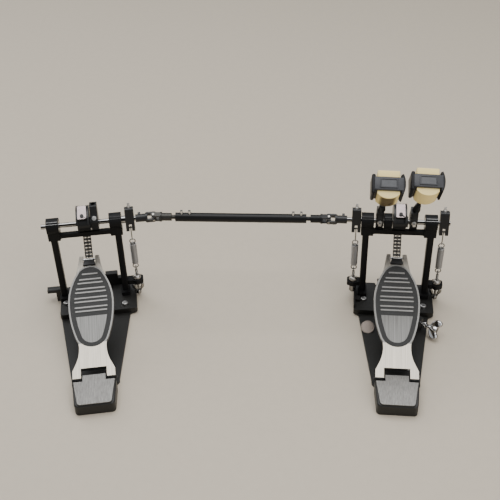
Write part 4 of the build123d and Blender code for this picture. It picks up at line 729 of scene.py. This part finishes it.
def link_plate(bm, low, high, x_start, x_end):
    """One figure-eight plate from pivot to pivot, given as (y, z), between two x values."""
    way = Vector((0, high[0] - low[0], high[1] - low[1]))
    middle = Vector((x_start, (low[0] + high[0]) / 2, (low[1] + high[1]) / 2))
    made = bmesh.ops.create_circle(bm, cap_ends=True, segments=16, radius=PLATE_HALF)["verts"]
    for vert in made:
        along = vert.co.x
        if abs(along) < 0.01:
            vert.co.y *= WAIST
        else:
            vert.co.x += (1 if along > 0 else -1) * way.length / 2
    bmesh.ops.transform(bm, matrix=frame_at(middle, (1, 0, 0), way), verts=made)
    pull_out(bm, [made[0].link_faces[0]], (x_end - x_start, 0, 0))


def chain_piece(name, body, place, points, first_outer, stands_for):
    """A run of links through (y, z) pivots, with bright rollers and rivets between dark plates."""
    bm = bmesh.new()
    for k, (low, high) in enumerate(zip(points, points[1:])):
        outer = (k % 2 == 0) == first_outer
        for x_start, x_end in OUTER if outer else INNER:
            link_plate(bm, low, high, x_start, x_end)
    rivets = len(bm.faces)
    for y, z in points if first_outer else points[1:]:
        for x_start, x_end, radius in ROLLERS:
            rod(bm, radius, (x_start, y, z), (x_end, y, z), 14)
    slot_of(bm, rivets, 1)
    finish_piece(bm, name, [chain_black, roller_steel], body, place, (stands_for,))


print("plates per link:", len(OUTER), "or", len(INNER))

# %% [markdown]
# The straight part runs from the stop block's pin to where it meets the sprocket's circle, which gives its
# lean. From there on, pivots lie on the circle, one tooth apart.

# %% The wound and the straight part of each chain
TEETH, WOUND_LINKS, STRAIGHT_LINKS = 30, 12, 11
TOOTH = 2 * pi / TEETH
SPROCKET_R = PITCH / (2 * sin(pi / TEETH))
CHAIN_PIN = (CHAIN_PIN_Y, CHAIN_PIN_Z)
reach = hypot(CHAIN_PIN_Y, SHAFT_Z - CHAIN_PIN_Z)
lean = atan2(-CHAIN_PIN_Y, SHAFT_Z - CHAIN_PIN_Z) + asin(SPROCKET_R / reach)
wound = [
    (SPROCKET_R * cos(a), SHAFT_Z + SPROCKET_R * sin(a))
    for a in (k * TOOTH - lean for k in range(WOUND_LINKS + 1))
]
straight = [
    tuple(start + (pin - start) * k / STRAIGHT_LINKS for start, pin in zip(wound[0], CHAIN_PIN))
    for k in range(STRAIGHT_LINKS + 1)
]
for pedal, place, cam in CAMS:
    chain_piece(f"{pedal}_chain_on_sprocket", cam, place, wound, True, f"{pedal}_chain_wrap")
    chain_piece(f"{pedal}_chain_links", f"{pedal}_run", place, straight, False, f"{pedal}_chain_run")
print("chain run, mm:", round(hypot(*(b - a for a, b in zip(straight[0], straight[-1]))), 2))

# %% [markdown]
# ## Return springs
# Each spring is close-wound wire: a small circle swept round the axis by the spin operator, which also moves
# a little along the axis at every step. Both its ends are capped, and the loops that hook the next pieces
# are drawn apart from it. The coil sits between the swivel below and the pull rod above, but it rides with
# neither body, so it stays as drawn when the pedal goes down.

# %% Geometry of a spring set
EYE_Z = 70.0
HOOK_R = 17
HOOK = Vector((0, -HOOK_R * sin(ROCKER_LEAN), SHAFT_Z - HOOK_R * cos(ROCKER_LEAN)))
SET_WAY = (HOOK - Vector((0, 0, EYE_Z))).normalized()
COIL_R, WIRE_R, COIL_PITCH, COIL_TURNS = 5.6, 0.8, 1.86, 26
COIL_TOP = 130.4
COIL_START = COIL_TOP - EYE_Z - COIL_PITCH * COIL_TURNS
COIL_END = COIL_START + COIL_PITCH * COIL_TURNS
TURN_STEPS = 20


def set_matrix(x, along):
    """Frame on a spring set's line, at a distance from the lower eye, with Z up the line."""
    return frame_at(Vector((x, 0, EYE_Z)) + SET_WAY * along, SET_WAY)


def coil(bm, matrix):
    """Close-wound wire of the spring, one tube from end to end."""
    section = wire_section(bm, COIL_R, WIRE_R, 8, matrix)
    spun(bm, section, matrix, 2 * pi * COIL_TURNS, TURN_STEPS * COIL_TURNS, rise=COIL_PITCH / TURN_STEPS)
    bmesh.ops.holes_fill(bm, edges=[e for e in bm.edges if e.is_boundary], sides=8)


print("coil length, mm:", round(COIL_END - COIL_START, 2))

# %% [markdown]
# A set has three pieces: the coil, a loop below with the plug that fills the coil's lower end, and a pull
# rod above, whose hook hangs in the rocker. Both plugs have one profile, and the upper one is it turned
# over.

# %% The three spring sets
PLUG = ((0.0, -1.2), (3.4, -0.9), (4.6, 1.5), (4.6, 8.0), (0.0, 8.0))


def coil_end(bm, x, end, inward, eye):
    """Plug at one end of a coil and the eye beyond it; inward is 1 at the lower end and -1 at the upper."""
    ring(bm, 5.1, 1.0, set_matrix(x, eye) @ Matrix.Rotation(pi / 2, 4, "X"), 32)
    turned(bm, [(r, end + inward * h) for r, h in PLUG], set_matrix(x, 0), 24)


def spring_set(side, place, x):
    """Coil, its two end loops and the hook rod above, in place of the CAD spring and pull link."""
    bm = bmesh.new()
    coil(bm, set_matrix(x, COIL_START))
    spring = finish_piece(bm, f"{side}_coil", [spring_steel], None, place)
    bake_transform(spring)
    bm = bmesh.new()
    coil_end(bm, x, COIL_START, 1, 4.9)
    rod(bm, 0.95, set_matrix(x, 8.5).translation, set_matrix(x, COIL_START + 1).translation, 10)
    finish_piece(bm, f"{side}_lower_loop", [wire_steel], f"{side}_spring", place, (f"{side}_spring",))
    bm = bmesh.new()
    coil_end(bm, x, COIL_END, -1, COIL_END + 6.0)
    hook = HOOK + Vector((x, -0.4, -0.55))
    rod(bm, 1.05, set_matrix(x, COIL_END + 10.2).translation, hook - SET_WAY * 2.4, 12)
    ring(bm, 2.75, 0.85, frame_at(hook, (1, 0, 0), SET_WAY), 28)
    ring(bm, 1.7, 0.8, frame_at(set_matrix(x, COIL_END + 11.3).translation, (1, 0, 0), SET_WAY), 24)
    finish_piece(bm, f"{side}_pull_rod", [wire_steel], f"{side}_pull", place, (f"{side}_pull_link",))


for side, body, place, x, lean in ROCKERS:
    spring_set(side, place, x)

# %% [markdown]
# Below each spring an eye bolt goes through the frame's bracket. A domed nut on top sets the pull, a plain
# collar and a wing nut underneath lock it. The left one of the main pedal only has a round lock nut.

# %% Eye bolts and their nuts
BRACKET_TOP = 44.0
THREADS, THREAD_START, THREAD_PITCH = 9, 54.0, 1.25
GRIP_RIBS = 24


def wing_nut(bm, x):
    """Hub with two wings that rise and spread to a V."""
    hub = [(2.4, 5.2), (4.2, 5.2), (4.8, 5.9), (4.5, 12.6), (3.9, 13.4), (2.4, 13.4)]
    turned(bm, hub, moved(x, 0, 0), 24)
    outline = [(2.6, 5.6), (4.2, 7.4), (5.0, 14.2), (9.4, 17.6), (11.4, 21.2), (11.9, 25.2), (11.0, 28.4),
               (8.6, 29.6), (5.8, 26.6), (3.4, 19.0)]
    for side in (-1, 1):
        plate(bm, [(side * u, v) for u, v in outline], 3.4, frame_at((x, 1.7, 0), (0, -1, 0)), 1.1, 3)


def eye_bolt(bm, x, winged):
    """Eye bolt with its thread, and the wing nut or round lock nut under the bracket."""
    upright = moved(x, 0, 0)
    ring(bm, 3.4, 1.05, frame_at((x, 0, EYE_Z), (1, 0, 0), (0, 0, 1)), 28)
    rod(bm, 2.3, (x, 0, 5.5 if winged else 15.5), (x, 0, EYE_Z - 4.2), 20)
    for k in range(THREADS):
        height = THREAD_START + k * THREAD_PITCH
        turned(bm, [(2.25, height), (2.55, height + 0.45), (2.25, height + 0.9)], upright, 18)
    lock, low = (4.4, 27.2) if winged else (6.6, 17.5)
    collar = [(2.4, low), (lock - 0.6, low), (lock, low + 0.6), (lock, 34.0), (lock - 0.5, 34.8), (2.4, 34.8)]
    turned(bm, collar, upright, 28)
    if winged:
        wing_nut(bm, x)


def domed_nut(bm, x):
    """Round nut with a domed top and grip ribs round its rim."""
    base = BRACKET_TOP + 0.1
    profile = [(2.7, 7.1), (4.0, 7.0), (5.6, 6.0), (6.9, 4.4), (7.8, 2.6), (7.9, 0.7), (7.3, 0.0), (2.7, 0.0)]
    turned(bm, [(r, base + h) for r, h in profile], moved(x, 0, 0), 36)
    for k in range(GRIP_RIBS):
        way = Matrix.Rotation(2 * pi * k / GRIP_RIBS, 4, "Z") @ Vector((7.7, 0, 0))
        rod(bm, 0.42, (x + way.x, way.y, base + 0.6), (x + way.x, way.y, base + 2.7), 6)


def adjuster(name, body, place, xs, node):
    """The eye bolts of one pedal, with their domed nuts in the second material."""
    bm = bmesh.new()
    for x, winged in xs:
        eye_bolt(bm, x, winged)
    domed = len(bm.faces)
    for x, winged in xs:
        domed_nut(bm, x)
    slot_of(bm, domed, 1)
    finish_piece(bm, name, [wire_steel, nut_steel], body, place, (node,))


adjuster("main_eye_bolts", "main_stand", MAIN, ((RIGHT_X, True), (LEFT_X, False)), "main_spring_adjusters")
adjuster("slave_eye_bolt", "slave_stand", SLAVE, ((SLAVE_X, True),), "slave_spring_adjuster")

# %% [markdown]
# ## Beater heads
# A head is a grey moulding on the rod: a core with a flat plate on one side and a bowed one on the other,
# both plastic playing faces, and a raised frame round a small window on top. Felt blocks fill the other two
# sides, a flat one towards the drum and a rounded one towards the player. Pressed felt has soft edges and no
# weave.

# %% Mouldings of the heads
ROD_OFFSET = 9.6
HEAD_TOP, HEAD_HEIGHT = 166.0, 46.0
BOW_R, BOW_HALF = 45.0, radians(24)


def head_matrix(x, lean, tilt):
    """Frame on a beater rod at the head's lower end: Z along the rod, Y towards the drum."""
    back, up = sin(radians(lean)), cos(radians(lean))
    t = radians(tilt)
    origin = Vector((x, ROD_OFFSET * up, SHAFT_Z + ROD_OFFSET * back))
    z = Vector((sin(t), -back * cos(t), up * cos(t)))
    across = Vector((cos(t), back * sin(t), -up * sin(t)))
    return frame_at(origin + z * (HEAD_TOP - HEAD_HEIGHT), z, across)


def bowed_face(bm, bow):
    """Slab bent about the bow's axis: the end face of a thin block is swept through its angle."""
    start = bow @ Matrix.Rotation(-BOW_HALF, 4, "Z") @ moved(BOW_R - 2.1, 0, 26.0)
    slab = block(bm, (4.2, 0.01, 38.0), start)
    end = next(f for v in slab for f in v.link_faces if f.normal.dot(start.col[1].xyz) > 0.9)
    spun(bm, [end], bow, 2 * BOW_HALF, 20)


def moulded_head(bm, matrix):
    """Grey core with a framed window on top, then the black flat face and the black bowed face."""
    block(bm, (50.0, 24.0, HEAD_HEIGHT), matrix @ moved(0.5, 0, HEAD_HEIGHT / 2), 1.6)
    block(bm, (30.0, 17.0, 2.0), matrix @ moved(0, 0, HEAD_HEIGHT + 0.5), 0.7)
    top_way = matrix.to_3x3() @ Vector((0, 0, 1))
    top = max(bm.faces, key=lambda f: f.calc_center_median().dot(top_way) + 0.001 * f.calc_area())
    for thickness, depth in ((1.1, 0.0), (0.5, -1.1), (0.3, 0.0)):
        bmesh.ops.inset_region(bm, faces=[top], thickness=thickness, depth=depth, use_even_offset=True)
    top.material_index = 1
    core = len(bm.faces)
    block(bm, (6.6, 35.0, 38.5), matrix @ moved(-25.6, -0.5, 26.2), 2.8, 4)
    bowed_face(bm, matrix @ moved(28.3 - BOW_R, 0, 0.4))
    slot_of(bm, core, 2)


HEADS = (
    ("right", (25.1, RIGHT_LEAN, RIGHT_TILT), felt),
    ("left", (-36.6, LEFT_LEAN, LEFT_TILT), worn_felt),
)
plastics = [head_plastic, window_plastic, face_plastic]
for side, stance, material in HEADS:
    bm = bmesh.new()
    moulded_head(bm, head_matrix(*stance))
    finish_piece(bm, f"{side}_moulding", plastics, f"{side}_beater", MAIN, (f"{side}_head",), radians(32))

# %% [markdown]
# The flat felt block is a box with rounded edges. The round one starts as a disc: three cuts take off its
# back and its sides, and the rest is pulled to a block. The left one's nose is marked as worn, fading
# towards its sides and its top.

# %% Felt blocks
CORE_HALF, NOSE_R, NOSE_RISE, NOSE_HALF, NOSE_HEIGHT = 12.05, 24.9, 13.3, 18.9, 40.0


def felt_pieces(bm, matrix):
    """A flat block on the drum side and a round-nosed block on the player's side."""
    flat = matrix @ moved(0, CORE_HALF + 6.6, 21.5)
    block(bm, (38.0, 13.0, 40.0), flat, 1.8, 4)
    first = len(bm.verts)
    round_way = matrix @ moved(0, NOSE_R - CORE_HALF - NOSE_RISE, 1.5)
    made = bmesh.ops.create_circle(bm, cap_ends=True, segments=72, radius=NOSE_R, matrix=round_way)["verts"]
    geom = list(made) + edges_of(made) + [made[0].link_faces[0]]
    turn = matrix.to_3x3()
    for cut, way in (
        ((0, -CORE_HALF, 0), (0, 1, 0)), ((NOSE_HALF, 0, 0), (1, 0, 0)), ((-NOSE_HALF, 0, 0), (-1, 0, 0)),
    ):
        left = bmesh.ops.bisect_plane(
            bm, geom=geom, plane_co=matrix @ Vector(cut), plane_no=turn @ Vector(way), clear_outer=True,
        )["geom"]
        geom = [g for g in left if g.is_valid]
    nose = [g for g in geom if isinstance(g, bmesh.types.BMFace)]
    pull_out(bm, nose, turn @ Vector((0, 0, NOSE_HEIGHT)))
    bm.verts.ensure_lookup_table()
    edges = [e for e in edges_of(bm.verts[first:]) if len(e.link_faces) == 2]
    rims = [e for e in edges if e.calc_face_angle(0) > radians(30)]
    round_edges(bm, rims, 3.2, 5, clamp=True)


def fade(distance, over):
    """A distance as a share of the width that it fades over, held between 0 and 1."""
    return max(0.0, min(1.0, distance / over))


def wear_nose(bm, matrix):
    """Mark the front of the round nose as worn, most where it's struck, in the attribute "edge"."""
    layer = bm.verts.layers.float.new("edge")
    home = matrix.inverted()
    cuts = [e for e in bm.edges if abs((home @ e.verts[0].co - home @ e.verts[1].co).z) > 25]
    bmesh.ops.subdivide_edges(bm, edges=cuts, cuts=8, use_grid_fill=True)
    for vert in bm.verts:
        at = home @ vert.co
        vert[layer] = 2.0 * fade(-at.y - 20.0, 2.0) * fade(16.0 - abs(at.x), 6.0) * fade(41.0 - at.z, 2.0)


for side, stance, material in HEADS:
    bm = bmesh.new()
    felt_pieces(bm, head_matrix(*stance))
    if material is worn_felt:
        wear_nose(bm, head_matrix(*stance))
    stands_for = (f"{side}_felts",)
    finish_piece(bm, f"{side}_felt_blocks", [material], f"{side}_beater", MAIN, stands_for, radians(60))

# %% [markdown]
# ## Hoop clamp bolt
# The clamp bolt is polished chrome: a plain shank and a cone, turned in one profile, and a thick two-lobed
# wing that fingers can turn. Each lobe is a plate with edges rounded until it looks cast.

# %% Wing bolt
WING_TURN = radians(-35)
LOBE_THICK = 8.4

bm = bmesh.new()
axis = frame_at(BOLT_PLACE, BOLT_WAY, (0, 0, 1))
turned(bm, [(0.0, -15.2), (2.6, -15.2), (3.0, -14.6), (3.0, 14.0), (5.6, 14.0), (6.0, 14.4), (6.0, 16.6),
            (5.6, 17.0), (3.1, 17.0), (3.1, 23.0), (3.8, 24.5), (6.6, 32.0), (6.9, 33.5), (6.9, 39.0),
            (6.2, 40.2), (0.0, 40.2)], axis, 36)
side_view = axis @ Matrix.Rotation(WING_TURN, 4, "Z") @ Matrix.Rotation(-pi / 2, 4, "X")
outline = [(2.0, -25.0), (6.4, -25.4), (12.0, -27.6), (16.6, -31.4), (18.8, -36.4), (18.6, -41.8),
           (16.2, -45.8), (12.0, -46.8), (8.2, -44.4), (5.6, -41.4), (2.0, -40.6)]
for side in (-1, 1):
    lobe = [(side * u, v) for u, v in outline]
    plate(bm, lobe, LOBE_THICK, side_view @ moved(0, 0, -LOBE_THICK / 2), 2.8, 4)
wing_bolt = finish_piece(bm, "clamp_wing_bolt", [chrome], "clamp_bolt", MAIN, ("clamp_bolt",))
print("wing bolt's faces:", len(wing_bolt.data.polygons))

# %% [markdown]
# ## Small parts
# A blank disc is pressed into the base and a rivet into the main footboard; both are turned. A clip closes
# each chain in front of its last link. The bearing housings are split for clamping, and the slots' lips are
# thin rods: bright metal on the two outer housings, a painted highlight along the slot's edges, and dull on
# the others.

# %% Blank disc, rivet and chain clips
CLIP_Y, CLIP_RISE = -19.0, 5.2

bm = bmesh.new()
disc = moved(-49.0, -99.0, 10.0) @ Matrix.Rotation(radians(34), 4, "X")
profile = [(0.0, 1.0), (10.4, 1.0), (10.8, 1.4), (12.0, 1.4), (12.5, 0.9), (12.5, -3.3), (0.0, -3.3)]
turned(bm, profile, disc, 48)
finish_piece(bm, "blank_disc", [disc_metal], "main_stand", MAIN)
bm = bmesh.new()
turned(bm, [(0.0, 0.5), (0.8, 0.4), (1.3, 0.0)], BOARD @ moved(19.5, 12.5, 1.2), 16)
finish_piece(bm, "board_rivet", [dark_steel], "main_board", MAIN)
clip = moved(0, CLIP_Y, CHAIN_PIN_Z + CLIP_RISE) @ Matrix.Rotation(radians(30), 4, "X")
for pedal, place in PEDALS:
    bm = bmesh.new()
    block(bm, (14.6, 2.2, 3.0), clip, 0.7)
    finish_piece(bm, f"{pedal}_chain_clip", [key_steel], f"{pedal}_board", place)

# %% Lips of the clamping slots
HOUSING_R, LIP_R = 14.75, 0.45
LIP_HEIGHTS = (62.0, 44.0)


def slot_lips(name, body, place, spans, material):
    """Two lips along the slot of each bearing housing, between the x values of its span."""
    bm = bmesh.new()
    for x_start, x_end in spans:
        for height in LIP_HEIGHTS:
            y = -HOUSING_R * cos(radians(height))
            z = SHAFT_Z + HOUSING_R * sin(radians(height))
            rod(bm, LIP_R, (x_start, y, z), (x_end, y, z), 8)
    finish_piece(bm, name, [material], body, place)


# The bright lips are a painted highlight: their pale metal stands for the highlight along the slot's edges.
for pedal, place, highlight_spans, other_spans in (
    ("main", MAIN, ((47.6, 68.4),), ((-68.4, -47.6), (-27.2, -14.3))),
    ("slave", SLAVE, ((-68.4, -47.6),), ((47.6, 68.4),)),
):
    slot_lips(f"{pedal}_housing_lips", f"{pedal}_stand", place, highlight_spans, highlight_lip_metal)
    slot_lips(f"{pedal}_dull_lips", f"{pedal}_stand", place, other_spans, dull_lip)

# %% [markdown]
# ## Floor, light and camera
# The pedal stands on a plain pale floor under broad soft light, as in a small studio. One square light
# hangs above, a cool one stands behind on the left, and a warm one in front on the right keeps the
# shadows open.

# %% Floor
floor_finish = finish(
    "pale_floor", (0.56, 0.492, 0.392), (0.6, 0.527, 0.422), 0.0, (0.5, 0.6), (60, 0.02), 0.0,
)
FLOOR_HALF, FLOOR_PLACE = 6.0, (-0.3, 1.0, -0.0005)
bm = bmesh.new()
bmesh.ops.create_grid(bm, x_segments=1, y_segments=1, size=FLOOR_HALF)
floor_mesh = bpy.data.meshes.new("floor")
bm.to_mesh(floor_mesh)
bm.free()
floor = bpy.data.objects.new("floor", floor_mesh)
floor.location = FLOOR_PLACE
scene_collection.objects.link(floor)
floor_mesh.materials.append(floor_finish)
print("floor, m:", 2 * FLOOR_HALF, "square")

# %% Lights
PEDAL_MIDDLE = Vector((-0.3, 0, 0))


def soft_light(name, place, size, watts, colour):
    """Square area light at a place, turned to the middle of the pedal."""
    lamp = bpy.data.lights.new(name, "AREA")
    lamp.shape = "SQUARE"
    lamp.size = size
    lamp.energy = watts
    lamp.color = colour
    lit = bpy.data.objects.new(name, lamp)
    lit.location = place
    lit.rotation_euler = (PEDAL_MIDDLE - Vector(place)).to_track_quat("-Z", "Y").to_euler()
    scene_collection.objects.link(lit)


soft_light("ceiling", (-0.3, 0.2, 2.6), 2.4, 64, (1, 1, 1))
soft_light("window", (-2.4, 1.4, 1.7), 1.6, 20, (0.98, 0.99, 1.0))
soft_light("room", (1.6, -1.8, 2.0), 2.0, 29, (1.0, 0.98, 0.95))
world = bpy.data.worlds.new("room_light")
world.use_nodes = True
background = world.node_tree.nodes["Background"]
background.inputs["Color"].default_value = (0.9, 0.92, 0.95, 1)
background.inputs["Strength"].default_value = 0.42
bpy.context.scene.world = world
print("lights:", len(bpy.data.lights))

# %% [markdown]
# The camera looks down from the player's side at about 38 degrees, high enough to show both footboards in
# full. Its matrix is written from its place and from where right, up and forward point.

# %% Camera
SENSOR_WIDTH, FRAME_WIDTH, FOCAL_PIXELS = 36.0, 500, 901.71
CAMERA_PLACE = (-0.12034, -1.36974, 1.16686)
pitch, yaw, roll = radians(37.585), radians(-6.614), radians(-1.730)
look = Vector((sin(yaw) * cos(pitch), cos(yaw) * cos(pitch), -sin(pitch)))
level = Vector((cos(yaw), -sin(yaw), 0))
upright = level.cross(look)
right = level * cos(roll) + upright * sin(roll)
up = upright * cos(roll) - level * sin(roll)
camera_data = bpy.data.cameras.new("camera")
camera_data.sensor_width = SENSOR_WIDTH
camera_data.lens = SENSOR_WIDTH * FOCAL_PIXELS / FRAME_WIDTH
camera = bpy.data.objects.new("camera", camera_data)
turn = Matrix((right, up, -look)).transposed().to_4x4()
camera.matrix_world = Matrix.Translation(CAMERA_PLACE) @ turn
scene_collection.objects.link(camera)
bpy.context.scene.camera = camera
print("lens, mm:", round(camera_data.lens, 2))
